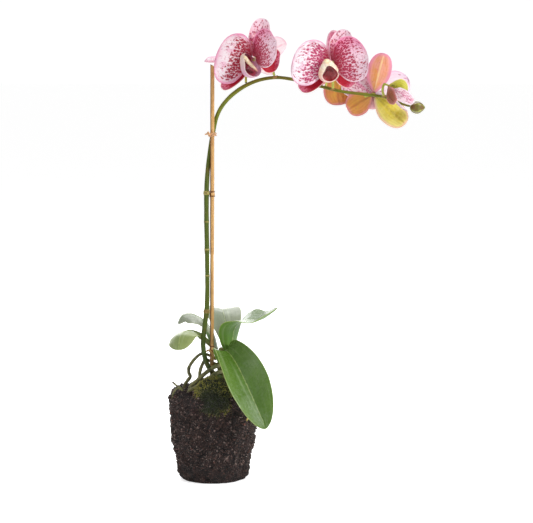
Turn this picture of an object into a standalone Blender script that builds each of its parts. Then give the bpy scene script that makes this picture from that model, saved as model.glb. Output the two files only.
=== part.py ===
"""Moth orchid lifted out of its pot: root ball, moss, roots, crown, leaves, cane, tie, flower spike and flowers.

Run with: blender --background --python part.py
Lengths below are in millimetres and turned into metres by MM. +Z is up, +X is the way the spike arches, and
-Y is the front. The origin is the middle of the root ball's flat foot.
"""

import math

import bmesh
import bpy
import numpy as np
from mathutils import Matrix, Vector, noise

MM = 0.001
GAP = 0.3  # clearance kept between pieces that touch

# Root ball: the inside of a 12 cm pot
BALL_FOOT_RADIUS = 41.0
BALL_TOP_RADIUS = 57.0
BALL_HEIGHT = 117.0
BALL_EDGE = 9.0  # rounding of the foot and of the rim
MOUND_CENTRE = (8.0, 0.0)
MOUND_HEIGHT = 17.0
MOUND_SPREAD = 32.0
BALL_LUMPS = 2.6
BALL_SEGMENTS = 28

# Moss cushion on the front of the rim
MOSS_CENTRE = (2.0, -37.0, 114.0)
MOSS_RADII = (25.0, 25.0, 29.0)
MOSS_LUMPS = 2.2

# Bamboo cane
CANE_FOOT_X = -1.9
CANE_TIP_X = 0.5
CANE_Y = -1.0
CANE_RADIUS = 2.65
CANE_FOOT = 45.0
CANE_TIP = 540.0
CANE_NODES = (171.0, 373.0)
CANE_NODE_SWELL = 0.55

# Short stem that carries leaves, roots and spike
CROWN_PATH = (
    (15.0, 4.0, 98.0, 6.5),
    (14.0, 2.0, 120.0, 7.5),
    (13.0, 0.5, 142.0, 7.5),
    (12.5, 0.0, 160.0, 6.5),
    (12.5, 0.0, 172.0, 4.5),
)

# Flower spike: x, y, z, radius
SPIKE_PATH = (
    (11.0, -4.0, 133.0, 2.9),
    (2.5, -11.0, 139.0, 3.1),
    (-4.5, -13.0, 147.0, 3.2),
    (-10.0, -12.0, 160.0, 3.2),
    (-12.4, -10.0, 178.0, 3.2),
    (-10.6, -8.0, 200.0, 3.2),
    (-8.0, -6.0, 220.0, 3.2),
    (-6.9, -4.5, 250.0, 3.1),
    (-7.2, -3.0, 300.0, 3.1),
    (-7.7, -2.5, 337.0, 3.1),
    (-7.6, -1.5, 374.0, 3.1),
    (-6.2, 1.5, 402.0, 3.0),
    (-2.6, 4.8, 432.0, 2.9),
    (0.4, 5.4, 450.0, 2.8),
    (5.2, 5.2, 471.0, 2.7),
    (12.8, 4.0, 486.5, 2.6),
    (25.5, 2.5, 500.5, 2.5),
    (42.0, 1.0, 512.0, 2.3),
    (60.0, 0.5, 519.5, 2.15),
    (81.0, 0.0, 523.0, 2.0),
    (100.0, 0.0, 521.3, 1.95),
    (119.0, 0.0, 517.0, 1.9),
    (139.0, 0.0, 511.8, 1.8),
    (167.0, -0.5, 505.2, 1.7),
    (203.0, -2.0, 500.8, 1.6),
    (224.0, -3.0, 497.6, 1.5),
    (241.0, -4.0, 490.6, 1.3),
    (252.7, -4.0, 486.6, 1.1),
)
SPIKE_NODES = (220.0, 337.0, 374.0)  # heights of the ringed bracts
SPIKE_NODE_SWELL = 0.7

# Roots: x, y, z, radius
ROOTS = {
    "root_front_upper": (
        (11.0, -6.0, 149.0, 2.6),
        (3.0, -16.8, 149.5, 2.7),
        (-8.0, -20.5, 142.5, 2.7),
        (-19.0, -21.5, 133.0, 2.5),
        (-28.0, -21.5, 124.5, 2.3),
        (-33.0, -21.0, 113.0, 2.1),
    ),
    "root_front_lower": (
        (12.5, -6.5, 140.5, 2.5),
        (6.0, -20.0, 142.0, 2.7),
        (-6.0, -27.5, 135.0, 2.7),
        (-18.0, -30.0, 126.5, 2.5),
        (-28.5, -31.0, 121.0, 2.2),
        (-36.0, -30.0, 111.0, 2.0),
    ),
    "root_arched_left": (
        (12.0, 4.5, 154.0, 1.9),
        (0.0, 7.6, 158.3, 2.1),
        (-14.0, 6.5, 163.0, 2.1),
        (-24.0, 6.0, 156.0, 2.1),
        (-31.0, 5.5, 146.0, 2.2),
        (-32.0, 5.0, 138.5, 2.2),
        (-30.0, 4.5, 132.5, 2.3),
        (-36.0, 3.5, 124.0, 2.2),
        (-41.0, 3.0, 110.0, 2.0),
    ),
    "root_arched_inner": (
        (12.0, 3.0, 146.0, 1.8),
        (0.5, 5.0, 151.0, 2.0),
        (-9.5, 2.0, 155.5, 2.1),
        (-14.5, -0.5, 148.0, 2.1),
        (-17.0, -3.0, 140.0, 2.1),
        (-18.0, -5.0, 128.0, 2.0),
        (-19.0, -6.0, 112.0, 1.9),
    ),
    "rootlet_rim": (
        (-37.0, -16.0, 110.0, 1.3),
        (-41.0, -16.5, 121.0, 1.4),
        (-46.5, -15.0, 124.0, 1.4),
        (-52.5, -12.0, 128.5, 1.3),
    ),
}

# Leaves: spine points, the direction of the blade's sideways line, half width, and the section's half angle at the
# base and the tip. A positive angle is a channel.
LEAVES = {
    "leaf_front": {
        "spine": (
            (13.0, -11.5, 154.0),
            (14.5, -18.0, 168.0),
            (21.0, -31.0, 170.0),
            (34.0, -48.0, 153.0),
            (49.5, -62.0, 122.0),
            (62.5, -71.0, 94.0),
            (69.0, -75.0, 79.0),
        ),
        "sides": ((-0.88, -0.38, -0.30), (-0.88, -0.38, -0.30)),
        "half_width": 28.0,
        "span": (1.0, 0.25),
    },
    "leaf_right": {
        "spine": (
            (26.5, -4.0, 160.0),
            (25.0, -5.0, 182.0),
            (29.0, -9.0, 201.0),
            (43.0, -17.0, 210.5),
            (63.0, -25.0, 213.0),
            (84.0, -33.0, 228.0),
        ),
        "sides": ((-0.80, -0.60, 0.0), (-0.42, -0.83, -0.36)),
        "half_width": 25.0,
        "span": (1.2, 0.2),
    },
    "leaf_left": {
        "spine": (
            (5.0, 22.0, 166.0),
            (-1.0, 25.0, 188.0),
            (-13.0, 27.0, 204.0),
            (-27.0, 28.5, 211.5),
            (-40.0, 28.0, 210.0),
            (-47.0, 27.0, 200.0),
        ),
        "sides": ((0.3, -0.93, -0.1), (0.2, -0.93, -0.22)),
        "half_width": 23.0,
        "span": (1.0, 0.3),
    },
    "leaf_back": {
        "spine": (
            (18.5, 12.5, 164.0),
            (18.0, 22.0, 187.0),
            (14.5, 38.0, 206.0),
            (11.5, 56.0, 214.0),
            (10.5, 73.0, 214.0),
            (10.0, 87.0, 208.0),
        ),
        "sides": ((1.0, 0.1, 0.0), (1.0, 0.0, -0.06)),
        "half_width": 23.0,
        "span": (1.1, 0.2),
        "early": 1.25,
    },
    "leaf_left_low": {
        "spine": (
            (5.5, 11.0, 163.0),
            (-4.0, 13.0, 176.0),
            (-16.0, 11.5, 188.0),
            (-29.5, 2.5, 193.5),
            (-37.0, -13.0, 190.0),
            (-39.5, -28.0, 175.0),
        ),
        "sides": ((0.1, -1.0, 0.0), (0.2, -0.97, 0.0), (0.97, -0.25, 0.0)),
        "half_width": 20.0,
        "span": (1.0, 0.3),
        "early": 1.5,
        "peak": 0.72,
    },
}
LEAF_THICKNESS = 1.6

# Flower parts
CLAW_RADIUS = 3.3  # distance of a tepal's base from the flower's axis
TEPAL_THICKNESS = 0.8
SEPAL_LEVEL = -1.8  # where the sepals leave the axis, ahead of the flower's middle
PETAL_LEVEL = 1.2
TEPAL_BOW = 0.8
LIP_SPINE = ((0.0, -4.2, 3.4), (0.0, -9.5, 7.5), (0.0, -13.0, 12.0), (0.0, -15.5, 17.0), (0.0, -17.0, 22.5))
LIP_HALF_WIDTHS = (2.6, 8.0, 18.0, 20.0, 11.0, 2.4)
LIP_SPANS = (0.8, 1.1, 1.5, 1.6, 1.0, 0.5)

# Flowers. face: heading (0 is the front, 90 is +X) and pitch. Tips are measured from the flower's middle, in the
# part's own axes, and each has the half width of its blade and, for a blade that is twisted, its sideways line.
# Left and right are those of someone who looks at the plant's front.
FLOWERS = {
    "flower_1": {
        "centre": (43.5, 28.0, 541.0),
        "face": (180.0, 50.0),
        "size": 1.0,
        "lip": (0.55, (0.0, -1.1, 1.5)),
        "stalk": ((43.5, 2.0, 516.6), (43.5, 8.0, 526.0)),
        "upper_sepal": ((4.0, -26.0, 29.0), 14.0, None),
        "left_sepal": ((-30.0, 24.0, -22.0), 15.0, None),
        "right_sepal": ((38.0, 29.0, -20.0), 12.0, None),
        "left_petal": ((-54.0, -4.0, 5.0), 20.0, (0.0, 0.95, 0.3)),
        "right_petal": ((52.0, 0.0, 27.0), 22.0, None),
    },
    "flower_2": {
        "centre": (54.0, -26.0, 546.0),
        "face": (-14.0, -12.0),
        "size": 1.0,
        "lip": (0.6, (0.0, -1.1, 1.3)),
        "stalk": ((80.0, -0.5, 526.0), (77.5, -4.0, 532.0), (68.0, -12.0, 541.0)),
        "upper_sepal": ((12.0, 8.0, 52.0), 13.5, None),
        "left_sepal": ((-37.0, 13.0, -37.0), 13.0, None),
        "right_sepal": ((35.0, 12.0, -13.0), 14.0, None),
        "left_petal": ((-47.0, -8.0, 1.0), 35.0, (0.3, -0.2, 0.93)),
        "right_petal": ((27.0, -32.0, 20.0), 29.0, (0.18, -0.05, 0.98)),
    },
    "flower_3": {
        "centre": (153.0, -27.0, 541.0),
        "face": (-14.0, -8.0),
        "size": 1.0,
        "stalk": ((155.5, -3.0, 509.5), (155.0, -9.0, 519.0), (154.0, -15.0, 531.0)),
        "upper_sepal": ((19.0, 8.0, 42.0), 13.5, None),
        "left_sepal": ((-40.0, 10.0, -34.0), 13.0, None),
        "right_sepal": ((31.0, 12.0, -32.0), 13.0, None),
        "left_petal": ((-50.0, -6.0, 3.0), 30.5, (0.1, -0.15, 0.98)),
        "right_petal": ((44.0, -22.0, 5.0), 29.5, (0.02, 0.0, 1.0)),
    },
    "flower_4": {
        "centre": (160.0, 29.0, 531.0),
        "face": (172.0, 4.0),
        "size": 1.0,
        "stalk": ((146.0, 1.8, 511.5), (148.0, 8.0, 517.0), (154.0, 14.0, 525.0)),
        "upper_sepal": ((-3.0, 1.0, 53.0), 11.0, None),
        "left_sepal": ((-41.0, 2.0, -12.0), 13.0, None),
        "right_sepal": ((13.0, -4.0, -43.0), 16.0, None),
        "left_petal": ((-42.0, 12.0, 16.0), 25.0, None),
        "right_petal": ((36.0, 14.0, 10.0), 25.0, None),
    },
    "flower_5": {
        "centre": (208.0, 13.0, 501.0),
        "face": (184.0, -4.0),
        "size": 1.0,
        "stalk": ((197.0, 0.0, 499.0), (199.5, 3.5, 499.5), (203.0, 6.0, 500.5)),
        "upper_sepal": ((14.0, -1.0, 53.0), 16.0, None),
        "left_sepal": ((-33.0, -3.0, -20.0), 16.0, None),
        "right_sepal": ((42.0, -4.0, -38.0), 17.5, None),
        "left_petal": ((-34.0, 12.0, 24.0), 21.0, None),
        "right_petal": ((48.0, 13.0, 16.0), 22.0, None),
    },
    "flower_6": {
        "centre": (227.5, -13.0, 512.0),
        "face": (92.0, -28.0),
        "size": 0.62,
        "lip": (0.34, (0.0, -0.8, 5.6)),
        "bow": -4.5,
        "stalk": ((220.5, -5.5, 500.0), (219.0, -8.0, 507.0), (220.5, -11.0, 514.0)),
        "upper_sepal": ((25.0, -1.0, 5.0), 10.5, (0.0, -0.9, -0.3)),
        "left_sepal": ((7.0, -19.0, -20.0), 7.0, None),
        "right_sepal": ((24.0, 1.0, -33.0), 7.0, None),
        "left_petal": ((31.0, -16.0, -17.0), 8.0, (-0.1, -0.35, -0.9)),
        "right_petal": ((25.0, 14.0, -10.0), 8.0, (0.1, 0.45, 0.85)),
    },
}
PETAL_SKEW = 0.16  # how far a petal's upper lobe is swept back towards the flower's middle
STALK_RADIUS = 1.35

# Closed bud at the spike's end
BUD_CENTRE = (262.5, -4.0, 485.0)
BUD_RADII = (9.5, 8.0, 8.2)

# Raffia tie that holds the spike to the cane
TIE_HEIGHT = 450.0
TIE_RADIUS = 0.85


def clear_scene():
    """Remove the startup objects."""
    for obj in list(bpy.data.objects):
        bpy.data.objects.remove(obj, do_unlink=True)


def collection(name):
    """A new collection in the scene."""
    made = bpy.data.collections.new(name)
    bpy.context.scene.collection.children.link(made)
    return made


def material(name, colour, roughness):
    """A Principled material with one colour."""
    made = bpy.data.materials.new(name)
    made.use_nodes = True
    shader = made.node_tree.nodes["Principled BSDF"]
    shader.inputs["Base Color"].default_value = (*colour, 1.0)
    shader.inputs["Roughness"].default_value = roughness
    shader.inputs["Metallic"].default_value = 0.0
    return made


def add_object(name, data, finish, group):
    """Link a mesh or curve as a named object with its own material."""
    if not data.materials:
        data.materials.append(finish)
    obj = bpy.data.objects.new(name, data)
    group.objects.link(obj)
    return obj


def smooth_through(points, steps):
    """Points on a Catmull-Rom curve through the given ones, evenly spaced, with any extra columns carried along."""
    rows = np.array(points, float)
    ends = np.vstack([2 * rows[0] - rows[1], rows, 2 * rows[-1] - rows[-2]])
    fine = []
    for i in range(len(rows) - 1):
        a, b, c, d = ends[i : i + 4]
        for t in np.linspace(0.0, 1.0, 24, endpoint=False):
            fine.append(
                0.5 * (2 * b + (c - a) * t + (2 * a - 5 * b + 4 * c - d) * t**2 + (3 * b - a - 3 * c + d) * t**3)
            )
    fine = np.array(fine + [rows[-1]])
    along = np.concatenate([[0.0], np.cumsum(np.linalg.norm(np.diff(fine[:, :3], axis=0), axis=1))])
    wanted = np.linspace(0.0, along[-1], steps + 1)
    return np.stack([np.interp(wanted, along, column) for column in fine.T], axis=1)


def tube_curve(name, path, resolution=2, grow=0.0):
    """A POLY curve with a round bevel whose radius follows the path's fourth column."""
    data = bpy.data.curves.new(name, "CURVE")
    data.dimensions = "3D"
    data.bevel_depth = MM
    data.bevel_resolution = resolution
    data.use_fill_caps = True
    spline = data.splines.new("POLY")
    spline.points.add(len(path) - 1)
    for point, (x, y, z, radius) in zip(spline.points, path):
        point.co = (x * MM, y * MM, z * MM, 1.0)
        point.radius = radius + grow
    return data


def mesh_of_curve(name, data):
    """The closed mesh of a bevelled curve, with its caps welded."""
    holder = bpy.data.objects.new("curve_holder", data)
    bpy.context.scene.collection.objects.link(holder)
    graph = bpy.context.evaluated_depsgraph_get()
    mesh = bpy.data.meshes.new_from_object(holder.evaluated_get(graph))
    mesh.name = name
    bpy.data.objects.remove(holder, do_unlink=True)
    work = bmesh.new()
    work.from_mesh(mesh)
    bmesh.ops.remove_doubles(work, verts=work.verts, dist=0.00002)
    bmesh.ops.recalc_face_normals(work, faces=work.faces)
    work.to_mesh(mesh)
    work.free()
    mesh.shade_smooth()
    mesh.set_sharp_from_angle(angle=math.radians(50))
    return mesh


def add_cutter(name, mesh, cutters):
    """A helper object that only Boolean modifiers use."""
    obj = bpy.data.objects.new(name, mesh)
    obj.hide_render = True
    obj.display_type = "WIRE"
    cutters.objects.link(obj)
    return obj


def cut(target, cutter):
    """Take the cutter away from the target."""
    modifier = target.modifiers.new("cut_" + cutter.name, "BOOLEAN")
    modifier.operation = "DIFFERENCE"
    modifier.solver = "EXACT"
    modifier.object = cutter


def ball_profile(share):
    """Radius and height of the root ball's outline, from the top's middle (0) to the foot's middle (1)."""
    top, foot, edge = BALL_TOP_RADIUS, BALL_FOOT_RADIUS, BALL_EDGE
    outline = [
        (0.0, BALL_HEIGHT),
        (top - edge, BALL_HEIGHT),
        (top - 0.3 * edge, BALL_HEIGHT - 0.3 * edge),
        (top, BALL_HEIGHT - edge),
        (top - 1.0, 0.6 * BALL_HEIGHT),
        (foot + 4.5, edge),
        (foot + 2.0, 0.3 * edge),
        (foot, 0.0),
        (0.0, 0.0),
    ]
    rows = np.array(outline)
    along = np.concatenate([[0.0], np.cumsum(np.linalg.norm(np.diff(rows, axis=0), axis=1))])
    return tuple(np.interp(share * along[-1], along, column) for column in rows.T)


def make_root_ball(finish, group):
    """Tapered plug of bark and roots with a flat foot, a mound under the crown and a lumpy side."""
    mesh = bpy.data.meshes.new("root_ball")
    work = bmesh.new()
    bmesh.ops.create_uvsphere(work, u_segments=BALL_SEGMENTS, v_segments=18, radius=1.0)
    for vertex in work.verts:
        share = math.acos(max(-1.0, min(1.0, vertex.co.z))) / math.pi
        turn = math.atan2(vertex.co.y, vertex.co.x)
        radius, height = ball_profile(share)
        place = Vector((radius * math.cos(turn), radius * math.sin(turn), height))
        if share < 0.001 or share > 0.999:
            place.x, place.y = 0.0, 0.0
        away = (place.x - MOUND_CENTRE[0]) ** 2 + (place.y - MOUND_CENTRE[1]) ** 2
        lump = BALL_LUMPS * noise.noise(place / 11.0)
        if height > 0.001:
            side = Vector((math.cos(turn), math.sin(turn), 0.0)) * min(1.0, radius / BALL_FOOT_RADIUS)
            place += side * lump
        if height > BALL_HEIGHT - 1.0:
            place.z += lump + MOUND_HEIGHT * math.exp(-away / MOUND_SPREAD**2)
        vertex.co = place * MM
    bmesh.ops.triangulate(work, faces=work.faces)
    work.to_mesh(mesh)
    work.free()
    mesh.shade_smooth()
    return add_object("root_ball", mesh, finish, group)


def make_moss(finish, group, cutters, ball):
    """Lumpy cushion that sits on the root ball's front rim, cut back to the ball and to the roots over it."""
    mesh = bpy.data.meshes.new("moss_cushion")
    work = bmesh.new()
    bmesh.ops.create_icosphere(work, subdivisions=3, radius=1.0)
    for vertex in work.verts:
        place = Vector([r * c for r, c in zip(MOSS_RADII, vertex.co)]) + Vector(MOSS_CENTRE)
        place += vertex.co * MOSS_LUMPS * noise.noise(place / 9.0)
        vertex.co = place * MM
    work.to_mesh(mesh)
    work.free()
    mesh.shade_smooth()
    moss = add_object("moss_cushion", mesh, finish, group)
    grown = ball.data.copy()
    for vertex in grown.vertices:
        vertex.co += vertex.normal * 2 * GAP * MM
    cut(moss, add_cutter("cut_ball", grown, cutters))
    return moss


def swell(path, heights, amount, reach=2.6):
    """The path with its radius raised near the given heights, as at a cane's or stem's joints."""
    rows = np.array(path, float)
    for height in heights:
        rows[:, 3] += amount * np.exp(-(((rows[:, 2] - height) / reach) ** 2))
    return rows


def cane_x(height):
    """Where the slightly leaning cane is at a height."""
    return CANE_FOOT_X + (CANE_TIP_X - CANE_FOOT_X) * (height - CANE_FOOT) / (CANE_TIP - CANE_FOOT)


def cane_path(grow_foot=0.0):
    """Straight cane with a swollen ring at each joint."""
    heights = {CANE_FOOT - grow_foot, CANE_TIP - 3.0, CANE_TIP}
    for node in CANE_NODES:
        heights |= {node - 6.0, node - 2.2, node, node + 2.2, node + 6.0}
    rows = [(cane_x(z), CANE_Y, z, CANE_RADIUS) for z in sorted(heights)]
    return swell(rows, CANE_NODES, CANE_NODE_SWELL)


def make_cane(finish, group, cutters):
    """Bamboo cane with a slanted top and a bud scar at its upper joint."""
    mesh = mesh_of_curve("bamboo_cane", tube_curve("bamboo_cane", cane_path(), resolution=4))
    cane = add_object("bamboo_cane", mesh, finish, group)
    slope = bpy.data.meshes.new("cut_cane_tip")
    work = bmesh.new()
    bmesh.ops.create_cube(work, size=12.0 * MM)
    work.transform(
        Matrix.Translation(Vector((CANE_TIP_X, CANE_Y, CANE_TIP + 5.2)) * MM) @ Matrix.Rotation(math.radians(18), 4, "Y")
    )
    work.to_mesh(slope)
    work.free()
    cut(cane, add_cutter("cut_cane_tip", slope, cutters))
    return cane


def make_tie(finish, group):
    """Raffia tie: a loop round cane and spike."""
    centre = np.array([(cane_x(TIE_HEIGHT) + 0.4) / 2, (CANE_Y + 5.4) / 2])
    turns = np.linspace(0.0, 2 * math.pi, 24, endpoint=False)
    loop = [(centre[0] + 5.0 * math.sin(a), centre[1] + 7.9 * math.cos(a), TIE_HEIGHT) for a in turns]
    ring = bpy.data.curves.new("raffia_tie", "CURVE")
    ring.dimensions = "3D"
    ring.bevel_depth = TIE_RADIUS * MM
    ring.bevel_resolution = 2
    spline = ring.splines.new("POLY")
    spline.points.add(len(loop) - 1)
    spline.use_cyclic_u = True
    for point, place in zip(spline.points, loop):
        point.co = (*(MM * c for c in place), 1.0)
    tie = add_object("raffia_tie", mesh_of_curve("raffia_tie", ring), finish, group)
    return tie


def blade_mesh(name, spine, half_widths, spans, sides, lengths, across, skew=0.0):
    """An open blade: an arc section carried along a spine.

    The point at share t along and v across is the spine's point plus R sin(s v) sideways and R (1 - cos(s v))
    along the normal, where s is the section's half angle and R is the half width over s. The sideways line
    turns evenly through the ones given. A skew sweeps one edge back along the spine.
    """
    rows = smooth_through(spine, lengths)
    tangents = np.gradient(rows, axis=0)
    tangents /= np.linalg.norm(tangents, axis=1)[:, None]
    shares = np.linspace(0.0, 1.0, lengths + 1)[:, None]
    stations = np.linspace(0.0, 1.0, len(sides))
    across_lines = np.stack([np.interp(shares[:, 0], stations, column) for column in np.array(sides, float).T], axis=1)
    across_lines -= tangents * np.sum(tangents * across_lines, axis=1)[:, None]
    across_lines /= np.linalg.norm(across_lines, axis=1)[:, None]
    normals = np.cross(across_lines, tangents)
    mesh = bpy.data.meshes.new(name)
    work = bmesh.new()
    bmesh.ops.create_grid(work, x_segments=lengths, y_segments=across, size=1.0)
    for vertex in work.verts:
        station = round((vertex.co.x + 1.0) / 2.0 * lengths)
        width, span = half_widths[station], spans[station]
        angle = span * vertex.co.y
        radius = width / span
        place = rows[station] + across_lines[station] * radius * math.sin(angle)
        place = place + normals[station] * radius * (1.0 - math.cos(angle))
        vertex.co = Vector(place - tangents[station] * skew * width * vertex.co.y) * MM
    work.to_mesh(mesh)
    work.free()
    mesh.shade_smooth()
    return mesh


def thicken(obj, thickness):
    """Give an open blade its wall, half to each side."""
    modifier = obj.modifiers.new("thickness", "SOLIDIFY")
    modifier.thickness = thickness * MM
    modifier.offset = 0.0


def rounded(shares, start, peak, end, early=1.3, late=2.3):
    """Half width of a blade as a share of its widest: narrow at the base, full at peak, rounded off to end."""
    rise = np.clip(shares / peak, 0.0, 1.0)
    rise = start + (1.0 - start) * np.sin(rise * math.pi / 2) ** early
    fall = np.clip((shares - peak) / (1.0 - peak), 0.0, 1.0)
    return rise * np.maximum(end, (1.0 - fall**late) ** (1.0 / late))


def make_leaf(name, facts, finish, group):
    """One strap leaf: a channel at its foot that opens flat towards a rounded tip."""
    lengths, across = 11, 4
    shares = np.linspace(0.0, 1.0, lengths + 1)
    widths = facts["half_width"] * rounded(shares, 0.24, facts.get("peak", 0.56), 0.12, facts.get("early", 1.0), 1.75)
    base, tip = facts["span"]
    spans = base + (tip - base) * np.sin(np.clip(shares / 0.6, 0.0, 1.0) * math.pi / 2)
    mesh = blade_mesh(name, facts["spine"], widths, spans, facts["sides"], lengths, across)
    leaf = add_object(name, mesh, finish, group)
    thicken(leaf, LEAF_THICKNESS)
    return leaf


def tepal_mesh(name, centre, face, tip, half_width, side, bow, size, petal):
    """Sepal or petal blade from near the flower's axis to its tip."""
    lengths, across = 7, 4
    shares = np.linspace(0.0, 1.0, lengths + 1)
    reach = Vector(tip)
    out = (reach - face * reach.dot(face)).normalized()
    level = PETAL_LEVEL if petal else SEPAL_LEVEL
    foot = Vector(centre) + face * level * size + out * CLAW_RADIUS * max(size, 0.85)
    end = Vector(centre) + reach
    along = (end - foot).normalized()
    line = Vector(side) if side else face.cross(along)
    line = (line - along * line.dot(along)).normalized()
    normal = along.cross(line)
    if normal.dot(face) < 0.0:
        normal = -normal
    spine = [foot.lerp(end, s) + normal * bow * 4.0 * (s - s**2) for s in (0.0, 0.25, 0.5, 0.75, 1.0)]
    start, peak, early = (3.6, 0.56, 0.62) if petal else (2.7, 0.52, 1.0)
    if size < 1.0:
        start, early = 1.9, 1.5
    widths = half_width * rounded(shares, start * size / half_width, peak, 0.2, early)
    span = -0.35 if along.cross(line).dot(face) > 0.0 else 0.35
    skew = PETAL_SKEW if petal and line.z > 0.0 else 0.0
    return blade_mesh(name, spine, widths, np.full(lengths + 1, span), (line, line), lengths, across, skew)


def lip_mesh():
    """Lip in the flower's frame: side lobes curl up round the column, the middle lobe reaches forwards."""
    lengths, across = 10, 6
    shares = np.linspace(0.0, 1.0, lengths + 1)
    stations = np.linspace(0.0, 1.0, len(LIP_HALF_WIDTHS))
    widths = np.interp(shares, stations, LIP_HALF_WIDTHS)
    spans = np.interp(shares, stations, LIP_SPANS)
    return blade_mesh("lip", LIP_SPINE, widths, spans, ((-1.0, 0.0, 0.0),) * 2, lengths, across)


def facing_matrix(centre, heading, pitch):
    """Frame of a flower: +Z the way it faces, +Y up the flower."""
    h, p = math.radians(heading), math.radians(pitch)
    face = Vector((math.sin(h) * math.cos(p), -math.cos(h) * math.cos(p), math.sin(p)))
    across = Vector((math.cos(h), math.sin(h), 0.0))
    up = face.cross(across)
    frame = Matrix((across, up, face)).transposed().to_4x4()
    return Matrix.Translation(Vector(centre) * MM) @ frame


def make_stalk(name, frame, size, points, finish, group):
    """Stalk, ovary and column as one: from the spike to the back of the flower and out of its middle."""
    out = frame.to_3x3() @ Vector((0.0, 0.0, 1.0))
    up = frame.to_3x3() @ Vector((0.0, 1.0, 0.0))
    centre = frame.translation / MM
    path = [(*point, STALK_RADIUS) for point in points]
    for ahead, lift, radius in ((-6.5, 0.0, 1.6), (-2.0, 0.0, 2.1), (2.0, 0.0, 2.3), (6.0, 0.5, 2.4), (9.0, 0.9, 2.0)):
        path.append((*(centre + (out * ahead + up * lift) * size), max(STALK_RADIUS, radius * size)))
    mesh = mesh_of_curve(name, tube_curve(name, smooth_through(path, 14)))
    return add_object(name, mesh, finish, group)


def make_flower(name, facts, lip_shape, finishes, group):
    """Five tepals, a lip and a stalk with its column, carried by an empty at the flower's middle."""
    size = facts["size"]
    frame = facing_matrix(facts["centre"], *facts["face"])
    face = frame.to_3x3() @ Vector((0.0, 0.0, 1.0))
    for part in ("upper_sepal", "left_sepal", "right_sepal", "left_petal", "right_petal"):
        tip, half_width, side = facts[part]
        petal = part.endswith("petal")
        bow = facts.get("bow", TEPAL_BOW)
        mesh = tepal_mesh(part, facts["centre"], face, tip, half_width, side, bow, size, petal)
        obj = add_object(f"{name}_{part}", mesh, finishes["petal" if petal else "sepal"], group)
        thicken(obj, TEPAL_THICKNESS)
    holder = bpy.data.objects.new(name + "_frame", None)
    share, shift = facts.get("lip", (1.0, (0.0, 0.0, 0.0)))
    holder.matrix_world = frame @ Matrix.Translation(Vector(shift) * MM) @ Matrix.Scale(share, 4)
    group.objects.link(holder)
    lip = add_object(f"{name}_lip", lip_shape, finishes["lip"], group)
    lip.parent = holder
    thicken(lip, TEPAL_THICKNESS)
    make_stalk(f"{name}_column", frame, size, facts["stalk"], finishes["stalk"], group)


def longer(rows, extra):
    """The path with both its ends moved outwards."""
    rows = np.array(rows, float)
    for end, inner in ((0, 1), (-1, -2)):
        step = rows[end, :3] - rows[inner, :3]
        rows[end, :3] += step / np.linalg.norm(step) * extra
    return rows


def make_bud(finish, group):
    """Closed bud on its short stalk."""
    mesh = bpy.data.meshes.new("end_bud")
    work = bmesh.new()
    bmesh.ops.create_uvsphere(work, u_segments=12, v_segments=8, radius=1.0)
    for vertex in work.verts:
        point = Vector(vertex.co)
        taper = 1.0 - 0.35 * max(0.0, point.x) ** 2
        place = Vector((point.x * BUD_RADII[0], point.y * BUD_RADII[1] * taper, point.z * BUD_RADII[2] * taper))
        vertex.co = (place + Vector(BUD_CENTRE)) * MM
    work.to_mesh(mesh)
    work.free()
    mesh.shade_smooth()
    return add_object("end_bud", mesh, finish, group)


def main():
    """Build every piece in order, from the root ball up."""
    clear_scene()
    group = collection("moth_orchid")
    cutters = collection("cutters")
    cutters.hide_render = True
    soil = material("soil", (0.07, 0.045, 0.035), 0.95)
    moss_green = material("moss", (0.08, 0.12, 0.02), 0.95)
    root_skin = material("root_skin", (0.22, 0.21, 0.09), 0.7)
    leaf_green = material("leaf", (0.12, 0.25, 0.06), 0.35)
    stem_green = material("stem", (0.17, 0.24, 0.04), 0.45)
    bamboo = material("bamboo", (0.55, 0.33, 0.12), 0.5)
    raffia = material("raffia", (0.72, 0.48, 0.28), 0.8)
    finishes = {
        "sepal": material("sepal", (0.8, 0.42, 0.45), 0.5),
        "petal": material("petal", (0.85, 0.55, 0.62), 0.5),
        "lip": material("lip", (0.6, 0.12, 0.12), 0.45),
        "stalk": stem_green,
    }
    ball = make_root_ball(soil, group)
    cut(ball, add_cutter("cut_cane", mesh_of_curve("cut_cane", tube_curve("c", cane_path(1.0), 4, GAP)), cutters))
    crown_rows = smooth_through(CROWN_PATH, 8)
    crown = add_object("crown_stem", mesh_of_curve("crown_stem", tube_curve("crown", crown_rows, 3)), leaf_green, group)
    crown_cutter = mesh_of_curve("cut_crown", tube_curve("c", smooth_through(CROWN_PATH, 8) - [0, 0, 0.6, 0], 3, GAP))
    cut(ball, add_cutter("cut_crown", crown_cutter, cutters))
    moss = make_moss(moss_green, group, cutters, ball)
    for name, path in ROOTS.items():
        rows = smooth_through(path, 6 * (len(path) - 1) // 2)
        add_object(name, mesh_of_curve(name, tube_curve(name, rows)), root_skin, group)
        shape = mesh_of_curve("cut_" + name, tube_curve("c", longer(rows, 0.5), 2, GAP))
        cutter = add_cutter("cut_" + name, shape, cutters)
        for target in (ball, moss, crown):
            cut(target, cutter)
    spike = swell(smooth_through(SPIKE_PATH, 90), SPIKE_NODES, SPIKE_NODE_SWELL)
    add_object("flower_spike", mesh_of_curve("flower_spike", tube_curve("spike", spike)), stem_green, group)
    spike_foot = mesh_of_curve("cut_spike", tube_curve("c", longer(spike[:14], 0.5), 2, GAP))
    spike_cutter = add_cutter("cut_spike", spike_foot, cutters)
    for target in (crown, ball):
        cut(target, spike_cutter)
    make_cane(bamboo, group, cutters)
    make_tie(raffia, group)
    for name, facts in LEAVES.items():
        make_leaf(name, facts, leaf_green, group)
    lip_shape = lip_mesh()
    for name, facts in FLOWERS.items():
        make_flower(name, facts, lip_shape, finishes, group)
    make_bud(stem_green, group)


if __name__ == "__main__":
    main()
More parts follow.
